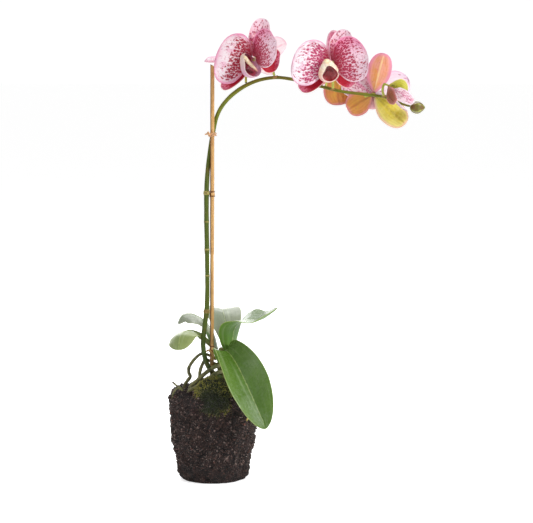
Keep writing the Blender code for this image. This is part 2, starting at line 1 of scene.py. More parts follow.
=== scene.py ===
"""Looks of a moth orchid in its bare root ball: five leaves, a tied spike, six flowers and a bud.

Sizes are in millimetres, turned into metres where a mesh is made. +Z is up, +X is the way the
spike arches and -Y is the front. Every new piece is a closed surface worked out on a grid around
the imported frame.
"""

import logging
import math
from dataclasses import dataclass
from enum import Enum

import bmesh
import bpy
import numpy as np
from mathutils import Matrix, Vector


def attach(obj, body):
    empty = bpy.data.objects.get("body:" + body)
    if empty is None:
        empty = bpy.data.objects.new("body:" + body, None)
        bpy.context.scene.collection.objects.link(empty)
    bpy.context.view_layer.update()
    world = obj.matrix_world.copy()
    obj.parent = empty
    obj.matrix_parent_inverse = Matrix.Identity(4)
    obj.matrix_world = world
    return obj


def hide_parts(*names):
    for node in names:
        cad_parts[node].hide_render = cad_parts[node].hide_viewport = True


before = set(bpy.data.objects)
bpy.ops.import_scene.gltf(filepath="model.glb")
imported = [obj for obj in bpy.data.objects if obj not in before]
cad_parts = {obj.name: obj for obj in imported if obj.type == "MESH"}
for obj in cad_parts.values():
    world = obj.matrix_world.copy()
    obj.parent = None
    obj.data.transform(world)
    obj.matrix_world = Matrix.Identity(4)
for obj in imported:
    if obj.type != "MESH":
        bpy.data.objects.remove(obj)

log = logging.getLogger("moth_orchid")

MM = 0.001
BODY = "root"
TURN = 2.0 * math.pi
QUARTER = math.pi / 2

# Blades: the tip's least width as a share, the step that gives the spine's direction, how closely
# the columns crowd to the edges, the groove's half width in mm and the strength of the frill
SLIM_TIP = 0.03
SPINE_STEP = 0.004
CROWD_TO_EDGE = 1.25
GROOVE_WIDTH = 1.3
FRILL_GAIN = 1.6

# Flowers, in mm, with the tepals' curl in radians and the petals' lean as a share of their width
LIP_HALF_WIDTH, LIP_HALF_HEIGHT, LIP_POINT = 12.6, 13.5, 3.2
LIP_REACH = 17.0
LIP_HALF_WALL = 0.45
STALK_RADIUS = 1.55
TEPAL_SPAN = 0.35
PETAL_SKEW = 0.16

Point = tuple[float, float, float]
Rows = tuple[tuple[float, ...], ...]
Colour = tuple[float, float, float]


def tone(red: int, green: int, blue: int) -> Colour:
    """The linear colour of a display colour given from 0 to 255."""
    return tuple((c / 255.0 / 12.92) if c < 11 else ((c / 255.0 + 0.055) / 1.055) ** 2.4
                 for c in (red, green, blue))


# ---------------------------------------------------------------- shapes


def smooth_through(points: Rows, shares: np.ndarray) -> np.ndarray:
    """Points of a Catmull-Rom curve at given shares of its length.

    Between rows b and c, with neighbours a and d, the curve is
    0.5 (2b + (c - a) t + (2a - 5b + 4c - d) t^2 + (3b - a - 3c + d) t^3).

    Args:
        points: rows the curve goes through; columns after the third are carried along.
        shares: shares of the length, from 0 to 1.

    Returns:
        One row for each share.
    """
    rows = np.array(points, float)
    ends = np.vstack([2 * rows[0] - rows[1], rows, 2 * rows[-1] - rows[-2]])
    knots = np.linspace(0.0, len(rows) - 1.0, 30 * (len(rows) - 1) + 1)
    low = np.minimum(knots.astype(int), len(rows) - 2)
    t = (knots - low)[:, None]
    a, b, c, d = (ends[low + k] for k in range(4))
    fine = 0.5 * (2 * b + (c - a) * t + (2 * a - 5 * b + 4 * c - d) * t**2
                  + (3 * b - a - 3 * c + d) * t**3)
    along = np.concatenate([[0.0], np.cumsum(np.linalg.norm(np.diff(fine[:, :3], axis=0), axis=1))])
    return np.stack([np.interp(shares * along[-1], along, column) for column in fine.T], axis=1)


def unit(rows: np.ndarray) -> np.ndarray:
    """The rows, each made one long."""
    return rows / np.maximum(np.linalg.norm(rows, axis=-1, keepdims=True), 1e-12)


def lattice_noise(points: np.ndarray, cell: float, seed: int) -> np.ndarray:
    """Smooth noise from -1 to 1.

    Random values at the corners of cubes of side cell, blended by w = t^2 (3 - 2 t) along each
    axis.

    Args:
        points: places, with x, y and z in the last axis.
        cell: side of the cubes, in the places' units.
        seed: picks the random values.

    Returns:
        One value for each place.
    """
    table = np.random.default_rng(seed).uniform(-1.0, 1.0, 4096)
    place = points / cell
    low = np.floor(place).astype(np.int64)
    t = place - low
    w = t * t * (3.0 - 2.0 * t)
    total = np.zeros(points.shape[:-1])
    for corner in np.ndindex(2, 2, 2):
        key = (low + corner) @ np.array([73856093, 19349663, 83492791])
        weight = np.prod(np.where(np.array(corner) == 1, w, 1.0 - w), axis=-1)
        total += weight * table[(key ^ (key >> 11)) % 4096]
    return total


def rounded(shares: np.ndarray, start: float, peak: float, early: float, late: float) -> np.ndarray:
    """Half width of a blade as a share of its widest.

    start + (1 - start) sin(s / peak * pi / 2)^early up to the peak, then
    (1 - f^late)^(1 / late) to a round tip.

    Args:
        shares: shares of the length.
        start: the foot's half width.
        peak: where the blade is widest.
        early: how slowly it widens.
        late: how square the tip is.

    Returns:
        One half width for each share.
    """
    rise = start + (1.0 - start) * np.sin(np.clip(shares / peak, 0.0, 1.0) * QUARTER) ** early
    fall = np.clip((shares - peak) / (1.0 - peak), 0.0, 1.0)
    return rise * np.maximum(SLIM_TIP, (1.0 - fall**late) ** (1.0 / late))


@dataclass
class Skin:
    """A mesh in the making: corners in millimetres, faces, and what its finish reads."""

    corners: np.ndarray
    faces: list
    uv: np.ndarray
    edge: np.ndarray | None = None
    backs: np.ndarray | None = None

    def outward(self) -> "Skin":
        """The skin with its faces outwards, told by the sign of its volume, sum a . (b x c) / 6."""
        tris = np.array([face[:3] for face in self.faces]
                        + [(f[0], f[2], f[3]) for f in self.faces if len(f) == 4])
        a, b, c = (self.corners[tris[:, k]] for k in range(3))
        if np.sum(a * np.cross(b, c)) < 0.0:
            self.faces = [face[::-1] for face in self.faces]
        return self

    def put(self, name: str, finishes: list["Finish"], slot: str,
            nodes: tuple[str, ...]) -> bpy.types.Object:
        """Make the object, dress it and tie it to the frame.

        Args:
            name: the piece's name.
            finishes: front finish, and the back's where there is one.
            slot: the record's material slot; not used.
            nodes: frame nodes it stands for.

        Returns:
            The finished object.
        """
        mesh = bpy.data.meshes.new(name)
        mesh.from_pydata((self.corners * MM).tolist(), [], self.faces)
        layer = mesh.uv_layers.new(name="UVMap")
        order = np.zeros(len(mesh.loops), int)
        mesh.loops.foreach_get("vertex_index", order)
        layer.data.foreach_set("uv", self.uv[order].astype(np.float32).ravel())
        if self.edge is not None:
            field = mesh.attributes.new("edge", "FLOAT", "POINT")
            field.data.foreach_set("value", self.edge.astype(np.float32))
        for finish in finishes:
            mesh.materials.append(finish.material())
        if self.backs is not None and len(finishes) > 1:
            mesh.polygons.foreach_set("material_index", self.backs.astype(np.int32))
        mesh.shade_smooth()
        mesh.update()
        piece = bpy.data.objects.new(name, mesh)
        bpy.context.scene.collection.objects.link(piece)
        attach(piece, BODY)
        if nodes:
            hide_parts(*nodes)
        log.info("%s: %d faces for %s", name, len(self.faces), ", ".join(nodes) or "detail")
        return piece


def joined(skins: list[Skin]) -> Skin:
    """Several skins as one."""
    starts = np.cumsum([0] + [len(skin.corners) for skin in skins[:-1]])
    faces = [tuple(int(i + start) for i in face)
             for skin, start in zip(skins, starts) for face in skin.faces]
    return Skin(np.vstack([s.corners for s in skins]), faces, np.vstack([s.uv for s in skins]))


def ring_faces(rings: int, around: int) -> np.ndarray:
    """Quads between rings of corners that close on themselves."""
    i, j = np.meshgrid(np.arange(rings - 1), np.arange(around), indexing="ij")
    k = (j + 1) % around
    return np.stack([i * around + j, i * around + k, (i + 1) * around + k, (i + 1) * around + j],
                    axis=-1).reshape(-1, 4)


def capped(grid: np.ndarray, uv: np.ndarray, poles: np.ndarray | None = None) -> Skin:
    """Rings of corners joined by quads, with a fan of triangles to a pole at each end.

    Args:
        grid: corners, rings by around by three.
        uv: u and v of each corner, then of the two poles.
        poles: the two end points, the middles of the end rings where none are given.

    Returns:
        The closed skin, with its faces outwards.
    """
    rings, around = grid.shape[:2]
    if poles is None:
        poles = np.array([grid[0].mean(axis=0), grid[-1].mean(axis=0)])
    count, here = rings * around, np.arange(around)
    ahead, last = (here + 1) % around, count - around
    faces = ring_faces(rings, around).tolist()
    faces += np.stack([np.full(around, count), ahead, here], axis=1).tolist()
    faces += np.stack([np.full(around, count + 1), last + here, last + ahead], axis=1).tolist()
    return Skin(np.vstack([grid.reshape(-1, 3), poles]), faces, uv).outward()


def tube(path: np.ndarray, around: int = 16, squash: float = 1.0) -> Skin:
    """Closed round tube: centre + r (cos a n + squash sin a b) along a path.

    Args:
        path: rows of x, y, z and radius.
        around: corners in each ring.
        squash: the section's second axis as a share of its first.

    Returns:
        The tube, with u along its length and v round it.
    """
    tangent = unit(np.gradient(path[:, :3], axis=0))
    choices = unit(np.array([(0, 1, 0), (1, 0, 0), (0, 0, 1), (1, 1, 0), (1, -1, 0), (0, 1, 1),
                             (0, 1, -1)], float))
    side = choices[np.argmin(np.abs(tangent @ choices.T).max(axis=0))]
    first = unit(np.cross(tangent, side))
    second = np.cross(tangent, first)
    angle = np.linspace(0.0, TURN, around, endpoint=False)
    section = (first[:, None] * np.cos(angle)[:, None]
               + second[:, None] * np.sin(angle)[:, None] * squash)
    grid = path[:, None, :3] + section * path[:, None, 3:4]
    u, v = np.meshgrid(np.linspace(0, 1, len(path)), 0.5 + 0.5 * np.cos(angle), indexing="ij")
    uv = np.vstack([np.stack([u, v], axis=-1).reshape(-1, 2), [(0.0, 0.5), (1.0, 0.5)]])
    return capped(grid, uv, path[[0, -1], :3])


def shell(middle: np.ndarray, u: np.ndarray, v: np.ndarray, edge: np.ndarray, wall: float,
          rim: float) -> Skin:
    """Closed thin shell: middle + n h on the front and middle - n h on the back.

    n is the unit cross product of the grid's two gradients, and h is smaller near the edge:
    2 h = wall (rim + (1 - rim) (1 - e^(-edge / 2))).

    Args:
        middle: grid of places, along by across.
        u: share along, for each place.
        v: place across from 0 to 1.
        edge: millimetres from the nearest edge.
        wall: full thickness.
        rim: the edge's thickness as a share of it.

    Returns:
        The shell, with its back faces marked.
    """
    along, across = middle.shape[:2]
    normal = unit(np.cross(np.gradient(middle, axis=0), np.gradient(middle, axis=1)))
    half = (0.5 * wall * (rim + (1.0 - rim) * (1.0 - np.exp(-edge / 2.0))))[..., None]
    loop = np.concatenate([middle + normal * half, (middle - normal * half)[:, ::-1]], axis=1)
    twice = 2 * across
    quads = ring_faces(along, twice)
    column = np.tile(np.arange(twice), along - 1)
    j = np.arange(across - 1)
    first = np.stack([j, j + 1, twice - 2 - j, twice - 1 - j], axis=1)[:, ::-1]
    last = first[:, ::-1] + (along - 1) * twice
    faces = np.vstack([quads, first, last])
    backs = np.concatenate([(column >= across).astype(int), np.zeros(len(first) + len(last), int)])
    u, v, edge = (np.concatenate([g, g[:, ::-1]], axis=1).reshape(-1) for g in (u, v, edge))
    uv = np.stack([u, v], axis=1)
    return Skin(loop.reshape(-1, 3), faces.tolist(), uv, edge, backs).outward()


@dataclass
class Blade:
    """Thin blade on a spine: leaf, sepal or petal.

    The middle is row + a R sin(s v) + n R (1 - cos(s v)) - t k w v, with R = w / s, plus a groove
    down the middle and a frill that grows towards the edge.
    """

    spine: Rows
    half_width: float
    sides: Rows
    start: float
    peak: float
    early: float
    late: float
    span: tuple[float, float]
    skew: float = 0.0
    wall: float = 0.9
    rim: float = 0.4
    groove: float = 0.25
    frill: float = 0.5
    fold: float = 0.0
    waves: float = 3.0
    seed: int = 1
    along: int = 44
    across: int = 36

    def skin(self) -> Skin:
        """The blade's closed shell."""
        shares = np.sin(np.linspace(0.0, 1.0, self.along) * QUARTER)
        rows = smooth_through(self.spine, shares)
        ahead = smooth_through(self.spine, np.minimum(shares + SPINE_STEP, 1.0))
        behind = smooth_through(self.spine, np.maximum(shares - SPINE_STEP, 0.0))
        tangent = unit(ahead - behind)
        stations = np.linspace(0.0, 1.0, len(self.sides))
        line = np.stack([np.interp(shares, stations, c) for c in np.array(self.sides, float).T],
                        axis=1)
        line = unit(line - tangent * np.sum(tangent * line, axis=1, keepdims=True))
        normal = np.cross(line, tangent)
        width = self.half_width * rounded(shares, self.start, self.peak, self.early, self.late)
        opened = np.sin(np.clip(shares / 0.6, 0.0, 1.0) * QUARTER)
        span = self.span[0] + (self.span[1] - self.span[0]) * opened
        v = np.sin(np.linspace(-1.0, 1.0, self.across) * CROWD_TO_EDGE) / math.sin(CROWD_TO_EDGE)
        angle = span[:, None] * v
        radius = (width / span)[:, None, None]
        place = rows[:, None] + line[:, None] * radius * np.sin(angle)[..., None]
        place = place + normal[:, None] * radius * (1.0 - np.cos(angle))[..., None]
        place = place - (tangent * (self.skew * width)[:, None])[:, None] * v[:, None]
        length = np.linalg.norm(np.diff(rows, axis=0), axis=1).sum()
        off = np.abs(v) * width[:, None]
        lift = -self.groove * np.exp(-((off / GROOVE_WIDTH) ** 2)) * (1.0 - 0.6 * shares[:, None])
        growth = np.abs(v) ** 3 + 0.3 * shares[:, None] ** 4
        growth = growth * np.clip(shares[:, None] * 3.0, 0.0, 1.0)
        ripple = lattice_noise(place, length / self.waves, self.seed)
        lift = lift + self.frill * growth * ripple * FRILL_GAIN
        lift = lift + self.fold * np.sqrt(off**2 + 1.5) * np.sin(shares[:, None] * math.pi) ** 0.5
        facing = np.sign(self.span[0] or 1.0)
        place = place + normal[:, None] * (lift * facing)[..., None]
        u = np.repeat(shares[:, None], self.across, axis=1)
        edge = np.minimum((1.0 - np.abs(v)) * width[:, None], (1.0 - u) * length)
        across = np.repeat(0.5 + 0.5 * v[None], self.along, axis=0)
        return shell(place, u, across, edge, self.wall, self.rim)


# ---------------------------------------------------------------- finishes


class Mask(Enum):
    """Where a layer of colour or relief lies."""

    EDGE = "edge_band"
    ALONG = "along_band"
    ACROSS = "across_band"
    SIDE = "side_band"
    SPECKLES = "speckle_rows"
    VEINS = "veins"
    STREAKS = "streaks"
    CLOUDS = "clouds"
    CELLS = "cells"
    HEIGHT = "height_band"


MASK_INPUTS = {
    Mask.EDGE: ("Inner", "Outer"),
    Mask.ALONG: ("Full At", "None At"),
    Mask.ACROSS: ("Full At", "None At"),
    Mask.SIDE: ("Full At", "None At"),
    Mask.SPECKLES: ("Along", "Across", "Size", "Foot Cover", "Tip Cover", "Margin"),
    Mask.VEINS: ("Count", "Width"),
    Mask.STREAKS: ("Along", "Across", "Low", "High"),
    Mask.CLOUDS: ("Scale", "Low", "High"),
    Mask.CELLS: ("Scale", "Low", "High"),
    Mask.HEIGHT: ("Full At", "None At"),
}


class Graph:
    """Adds and joins shader nodes in one tree."""

    def __init__(self, tree: bpy.types.NodeTree) -> None:
        """Work in this tree."""
        self.tree = tree

    def add(self, kind: str, values: dict | None = None, **settings: object) -> bpy.types.Node:
        """Add a node.

        Args:
            kind: node type.
            values: input name or number to a socket or a value.
            settings: properties of the node.

        Returns:
            The node.
        """
        node = self.tree.nodes.new(kind)
        for key, value in settings.items():
            setattr(node, key, value)
        for key, value in (values or {}).items():
            if isinstance(value, bpy.types.NodeSocket):
                self.tree.links.new(value, node.inputs[key])
            else:
                node.inputs[key].default_value = value
        return node

    def math(self, operation: str, first: object, second: object = 0.0) -> bpy.types.NodeSocket:
        """The socket of a Math node."""
        return self.add("ShaderNodeMath", {0: first, 1: second}, operation=operation).outputs[0]

    def times(self, first: object, second: object) -> bpy.types.NodeSocket:
        """The product of two values."""
        return self.math("MULTIPLY", first, second)

    def plus(self, first: object, second: object) -> bpy.types.NodeSocket:
        """The sum of two values."""
        return self.math("ADD", first, second)

    def minus(self, first: object, second: object) -> bpy.types.NodeSocket:
        """The first value less the second."""
        return self.math("SUBTRACT", first, second)

    def step(self, value: object, none: object, full: object) -> bpy.types.NodeSocket:
        """Smooth step from 0 at none to 1 at full."""
        values = {"Value": value, "From Min": none, "From Max": full}
        return self.add("ShaderNodeMapRange", values, interpolation_type="SMOOTHSTEP").outputs[0]

    def mix(self, share: object, under: object, over: object) -> bpy.types.NodeSocket:
        """Colour of over laid on under."""
        return self.add("ShaderNodeMix", {0: share, 6: under, 7: over}, data_type="RGBA").outputs[2]

    def noise(self, vector: object, scale: object, detail: float = 3.0) -> bpy.types.NodeSocket:
        """Value of a noise texture."""
        values = {"Vector": vector, "Scale": scale, "Detail": detail}
        return self.add("ShaderNodeTexNoise", values).outputs[0]

    def drift(self, vector: object, scale: object, reach: float,
              detail: float = 3.0) -> bpy.types.NodeSocket:
        """Noise about zero, as wide as reach."""
        return self.times(self.minus(self.noise(vector, scale, detail), 0.5), reach)

    def edge(self) -> bpy.types.NodeSocket:
        """Distance from the surface's edge in mm."""
        return self.add("ShaderNodeAttribute", attribute_name="edge").outputs["Fac"]


class MaskGroups:
    """The node groups of the masks, each built once."""

    def __init__(self) -> None:
        """Start with none built."""
        self.built: dict[Mask, bpy.types.NodeTree] = {}

    def get(self, mask: Mask) -> bpy.types.NodeTree:
        """The mask's node group.

        Args:
            mask: which one.

        Returns:
            The group, made at the first call.
        """
        if mask not in self.built:
            tree = bpy.data.node_groups.new(mask.value, "ShaderNodeTree")
            for name in MASK_INPUTS[mask]:
                tree.interface.new_socket(name, in_out="INPUT", socket_type="NodeSocketFloat")
            tree.interface.new_socket("Mask", in_out="OUTPUT", socket_type="NodeSocketFloat")
            graph = Graph(tree)
            inside = graph.add("NodeGroupInput")
            value = getattr(self, "_" + mask.value)(graph, inside.outputs)
            graph.add("NodeGroupOutput", {0: value})
            self.built[mask] = tree
        return self.built[mask]

    @staticmethod
    def _own(graph: Graph) -> tuple:
        """Along, across and place sockets of the surface."""
        uv = graph.add("ShaderNodeUVMap", uv_map="UVMap").outputs[0]
        parts = graph.add("ShaderNodeSeparateXYZ", {0: uv})
        place = graph.add("ShaderNodeTexCoord").outputs["Object"]
        return parts.outputs[0], parts.outputs[1], place

    def _edge_band(self, graph: Graph, given: object) -> object:
        """Strong within Outer mm of the edge and gone at Inner, with a wandering line."""
        _, _, place = self._own(graph)
        wander = graph.plus(graph.times(graph.noise(place, 260.0), 0.9), 0.55)
        return graph.step(graph.times(graph.edge(), wander), given[0], given[1])

    def _along_band(self, graph: Graph, given: object) -> object:
        """Full at one share of the length and gone at another, with ragged progress."""
        u, _, place = self._own(graph)
        return graph.step(graph.plus(u, graph.drift(place, 330.0, 0.28, 5.0)), given[1], given[0])

    def _across_band(self, graph: Graph, given: object) -> object:
        """By distance from the middle line, 0 at it and 1 at the edges."""
        _, v, place = self._own(graph)
        middle = graph.math("ABSOLUTE", graph.minus(graph.times(v, 2.0), 1.0))
        return graph.step(graph.plus(middle, graph.drift(place, 300.0, 0.12)), given[1], given[0])

    def _side_band(self, graph: Graph, given: object) -> object:
        """By the share of the width, 0 at one edge and 1 at the other."""
        _, v, place = self._own(graph)
        return graph.step(graph.plus(v, graph.drift(place, 200.0, 0.2)), given[1], given[0])

    def _speckle_rows(self, graph: Graph, given: object) -> object:
        """Dots in rows that run out from the foot; fewer towards the tip and none in the margin."""
        u, v, place = self._own(graph)
        wobble = graph.drift(place, 420.0, 1.3)
        x = graph.plus(graph.times(graph.math("POWER", u, 0.8), given[0]), wobble)
        y = graph.plus(graph.times(v, given[1]), wobble)
        flat = graph.add("ShaderNodeCombineXYZ", {0: x, 1: y}).outputs[0]
        values = {"Vector": flat, "Scale": 1.0}
        cells = graph.add("ShaderNodeTexVoronoi", values, voronoi_dimensions="2D")
        dot = graph.step(cells.outputs["Distance"], given[2], graph.times(given[2], 0.55))
        chance = graph.add("ShaderNodeSeparateXYZ", {0: cells.outputs["Color"]}).outputs[0]
        cover = graph.add("ShaderNodeMix", {0: graph.step(u, 0.1, 0.95), 2: given[3], 3: given[4]},
                          data_type="FLOAT").outputs[0]
        room = graph.step(graph.edge(), graph.times(given[5], 0.3), graph.times(given[5], 1.5))
        patches = graph.drift(place, 130.0, 0.5)
        cover = graph.plus(graph.times(cover, room), graph.times(patches, room))
        return graph.times(dot, graph.step(graph.minus(cover, chance), 0.0, 0.08))

    def _veins(self, graph: Graph, given: object) -> object:
        """Fine lines from foot to tip: near the whole numbers of v Count, bent by noise."""
        _, v, place = self._own(graph)
        value = graph.plus(graph.times(v, given[0]), graph.drift(place, 90.0, 0.9))
        return graph.step(graph.math("PINGPONG", value, 0.5), given[1], 0.0)

    def _streaks(self, graph: Graph, given: object) -> object:
        """Noise drawn out along the length."""
        u, v, _ = self._own(graph)
        values = {0: graph.times(u, given[0]), 1: graph.times(v, given[1])}
        flat = graph.add("ShaderNodeCombineXYZ", values).outputs[0]
        return graph.step(graph.noise(flat, 1.0, 4.0), given[2], given[3])

    def _clouds(self, graph: Graph, given: object) -> object:
        """Soft patches."""
        _, _, place = self._own(graph)
        return graph.step(graph.noise(place, given[0], 5.0), given[1], given[2])

    def _cells(self, graph: Graph, given: object) -> object:
        """Grains: distance from the nearest of scattered points."""
        _, _, place = self._own(graph)
        cells = graph.add("ShaderNodeTexVoronoi", {"Vector": place, "Scale": given[0]})
        return graph.step(cells.outputs["Distance"], given[1], given[2])

    def _height_band(self, graph: Graph, given: object) -> object:
        """By height in metres, full at one and gone at the other."""
        _, _, place = self._own(graph)
        height = graph.add("ShaderNodeSeparateXYZ", {0: place}).outputs[2]
        return graph.step(height, given[1], given[0])


GROUPS = MaskGroups()


@dataclass(frozen=True)
class Layer:
    """A colour laid over what is under it where a mask says."""

    mask: Mask
    values: tuple[float, ...]
    colour: Colour
    amount: float = 1.0


@dataclass(frozen=True)
class Relief:
    """A height in millimetres where a mask says."""

    mask: Mask
    values: tuple[float, ...]
    height: float


@dataclass(frozen=True)
class Finish:
    """A surface: its ground colour, the layers on it, its relief and its gloss."""

    name: str
    ground: Colour
    layers: tuple[Layer, ...] = ()
    reliefs: tuple[Relief, ...] = ()
    roughness: float = 0.5
    roughness_vary: float = 0.12
    coat: float = 0.0
    sheen: float = 0.0
    subsurface: float = 0.0
    specular: float = 0.5

    def material(self) -> bpy.types.Material:
        """The finish's material, made at the first call."""
        if self.name in bpy.data.materials:
            return bpy.data.materials[self.name]
        made = bpy.data.materials.new(self.name)
        made.use_nodes = True
        graph = Graph(made.node_tree)
        shader = made.node_tree.nodes["Principled BSDF"]
        colour: object = (*self.ground, 1.0)
        for layer in self.layers:
            share = graph.times(self._mask(graph, layer.mask, layer.values), layer.amount)
            colour = graph.mix(share, colour, (*layer.colour, 1.0))
        if self.layers:
            made.node_tree.links.new(colour, shader.inputs["Base Color"])
        else:
            shader.inputs["Base Color"].default_value = colour
        low, high = self.roughness - self.roughness_vary, self.roughness + self.roughness_vary
        grain = self._mask(graph, Mask.CLOUDS, (220.0, 0.3, 0.7))
        spread = graph.add("ShaderNodeMapRange", {0: grain, 3: low, 4: high}).outputs[0]
        made.node_tree.links.new(spread, shader.inputs["Roughness"])
        height: object = 0.0
        for relief in self.reliefs:
            part = graph.times(self._mask(graph, relief.mask, relief.values), relief.height)
            height = graph.plus(height, part)
        if self.reliefs:
            bump = graph.add("ShaderNodeBump", {"Strength": 1.0, "Distance": MM, "Height": height})
            made.node_tree.links.new(bump.outputs[0], shader.inputs["Normal"])
        values = {"Specular IOR Level": self.specular, "Coat Weight": self.coat,
                  "Coat Roughness": 0.25, "Sheen Weight": self.sheen}
        if self.subsurface:
            values |= {"Subsurface Weight": self.subsurface, "Subsurface Scale": 1.0,
                       "Subsurface Radius": (0.004, 0.002, 0.002)}
        for socket, value in values.items():
            shader.inputs[socket].default_value = value
        return made

    @staticmethod
    def _mask(graph: Graph, mask: Mask, values: tuple[float, ...]) -> bpy.types.NodeSocket:
        """Place a mask's group with its values."""
        node = graph.add("ShaderNodeGroup", node_tree=GROUPS.get(mask))
        for socket, value in zip(node.inputs, values):
            socket.default_value = value
        return node.outputs[0]


PETAL_RELIEF = (
    Relief(Mask.VEINS, (30.0, 0.42), 0.10),
    Relief(Mask.CLOUDS, (900.0, 0.3, 0.7), 0.06),
    Relief(Mask.CLOUDS, (150.0, 0.3, 0.7), 0.35),
)
CRIMSON = tone(150, 14, 46)
MAGENTA = tone(178, 40, 96)
CREAM = tone(246, 232, 208)


def petal_front(name: str, ground: Colour, wash: Colour, spot: Colour, rim: Colour,
                cover: tuple[float, float], margin: float, rim_width: float,
                flush: Colour | None = None) -> Finish:
    """Finish of a petal's face.

    Args:
        name: its name.
        ground: colour of the broad margin.
        wash: flush under the speckles.
        spot: the speckles.
        rim: thin line of colour at the edge.
        cover: share of speckles shown at the foot and at the tip.
        margin: width without speckles, in mm.
        rim_width: width of the rim, in mm.
        flush: colour that floods one side, where one does.

    Returns:
        The finish.
    """
    layers = (
        Layer(Mask.ALONG, (0.1, 0.85), wash, 0.55),
        Layer(Mask.VEINS, (26.0, 0.30), wash, 0.3),
        Layer(Mask.EDGE, (margin * 1.6, 0.0), ground, 0.85),
        Layer(Mask.EDGE, (rim_width, 0.2), rim, 0.75),
        Layer(Mask.EDGE, (rim_width * 2.6, 0.4), rim, 0.35),
        Layer(Mask.CLOUDS, (75.0, 0.52, 0.64), rim, 0.4),
    )
    if flush:
        layers += (Layer(Mask.SIDE, (1.05, 0.5), flush, 0.8),)
    layers += (
        Layer(Mask.SPECKLES, (22.0, 40.0, 0.46, cover[0] * 0.6, cover[1] + 0.25, margin * 0.6),
              MAGENTA, 0.55),
        Layer(Mask.SPECKLES, (12.5, 25.0, 0.60, cover[0], cover[1], margin), spot, 0.94),
        Layer(Mask.SPECKLES, (15.0, 30.0, 0.52, cover[0] * 0.7, cover[1] - 0.3, margin), spot, 0.9),
        Layer(Mask.ALONG, (0.05, 0.36), CRIMSON, 0.85),
    )
    return Finish(name, ground, layers, PETAL_RELIEF, 0.48, 0.08, sheen=0.1, subsurface=0.12,
                  specular=0.25)


def tepal_back(name: str, middle: Colour, flank: Colour, rim: Colour, vein: Colour,
               spotted: float = 0.0, midrib: Colour | None = None,
               rim_width: float = 3.4) -> Finish:
    """Finish of the back of a sepal or petal.

    Args:
        name: its name.
        middle: colour of its middle.
        flank: colour of its flanks.
        rim: colour of its edge.
        vein: colour of its veins.
        spotted: share of faint speckles.
        midrib: colour of the line down its middle, the veins' where none is given.
        rim_width: width of the coloured edge, in mm.

    Returns:
        The finish.
    """
    layers = (
        Layer(Mask.ACROSS, (0.95, 0.2), flank, 0.85),
        Layer(Mask.ALONG, (1.05, 0.6), flank, 0.7),
        Layer(Mask.STREAKS, (2.0, 6.0, 0.45, 0.75), vein, 0.45),
        Layer(Mask.CLOUDS, (45.0, 0.5, 0.62), flank, 0.5),
        Layer(Mask.VEINS, (9.0, 0.34), vein, 0.22),
        Layer(Mask.ACROSS, (0.02, 0.13), midrib or vein, 0.7),
        Layer(Mask.CLOUDS, (300.0, 0.42, 0.75), flank, 0.35),
        Layer(Mask.SPECKLES, (13.0, 17.0, 0.52, spotted, spotted, 2.0), MAGENTA, 0.75),
        Layer(Mask.EDGE, (rim_width, 0.3), rim, 0.85),
    )
    return Finish(name, middle, layers, PETAL_RELIEF, 0.46, 0.08, sheen=0.1, subsurface=0.1,
                  specular=0.3)


WHITE_PETAL = petal_front("petal_white", tone(226, 218, 222), tone(216, 160, 180), CRIMSON,
                          tone(212, 116, 158), (1.75, -0.12), 6.0, 4.4)
FLUSHED_PETAL = petal_front("petal_flushed", tone(250, 222, 234), tone(240, 156, 190),
                            tone(176, 18, 64), tone(250, 222, 232), (1.25, 0.2), 2.0, 2.4,
                            tone(240, 122, 172))
FINE_PETAL = petal_front("petal_fine", tone(246, 236, 242), tone(236, 202, 218), tone(176, 34, 92),
                         tone(222, 140, 178), (1.5, 0.12), 4.5, 2.0)
UPPER_SEPAL = Finish("sepal_upper", tone(236, 202, 214), (
    Layer(Mask.ALONG, (0.2, 0.85), tone(206, 84, 126), 0.8),
    Layer(Mask.EDGE, (2.4, 0.1), tone(240, 208, 220), 0.7),
    Layer(Mask.SPECKLES, (17.0, 11.0, 0.55, 1.2, 0.55, 1.0), tone(160, 20, 72), 0.9),
    Layer(Mask.SPECKLES, (24.0, 13.0, 0.4, 0.7, 0.0, 1.0), tone(244, 206, 180), 0.6),
    Layer(Mask.ALONG, (0.02, 0.45), tone(156, 14, 50), 0.85),
), PETAL_RELIEF, 0.48, 0.08, sheen=0.1, subsurface=0.12, specular=0.25)
LOWER_SEPAL = Finish("sepal_lower", tone(232, 140, 166), (
    Layer(Mask.SPECKLES, (16.0, 11.0, 0.55, 1.0, 0.8, 1.0), MAGENTA, 0.85),
    Layer(Mask.ALONG, (0.72, 1.04), tone(164, 4, 34), 0.98),
    Layer(Mask.VEINS, (12.0, 0.3), tone(118, 2, 22), 0.4),
    Layer(Mask.EDGE, (1.2, 0.1), tone(246, 214, 206), 0.85),
), PETAL_RELIEF, 0.45, 0.08, coat=0.05, subsurface=0.08, specular=0.15)
BACK_PALE = tepal_back("back_pale", tone(248, 236, 236), tone(246, 228, 234), tone(238, 194, 210),
                       tone(230, 186, 198))
BACK_SPOTTED = tepal_back("back_spotted", tone(246, 224, 230), tone(242, 206, 220),
                          tone(250, 236, 240), tone(222, 130, 170), 0.62)
BACK_LILAC = tepal_back("back_lilac", tone(248, 234, 240), tone(238, 214, 230), tone(232, 178, 206),
                        tone(228, 196, 214), 0.12)
BACK_PEACH = tepal_back("back_peach", tone(222, 156, 88), tone(230, 164, 156), tone(224, 138, 172),
                        tone(200, 104, 72), 0.0, tone(240, 212, 156), 6.5)
BACK_OCHRE = tepal_back("back_ochre", tone(214, 164, 70), tone(208, 132, 78), tone(218, 140, 146),
                        tone(164, 88, 32), 0.0, tone(164, 104, 46), 5.0)
BACK_LIME = tepal_back("back_lime", tone(208, 192, 62), tone(230, 216, 126), tone(232, 184, 170),
                       tone(158, 146, 36), 0.0, tone(166, 148, 50), 5.0)
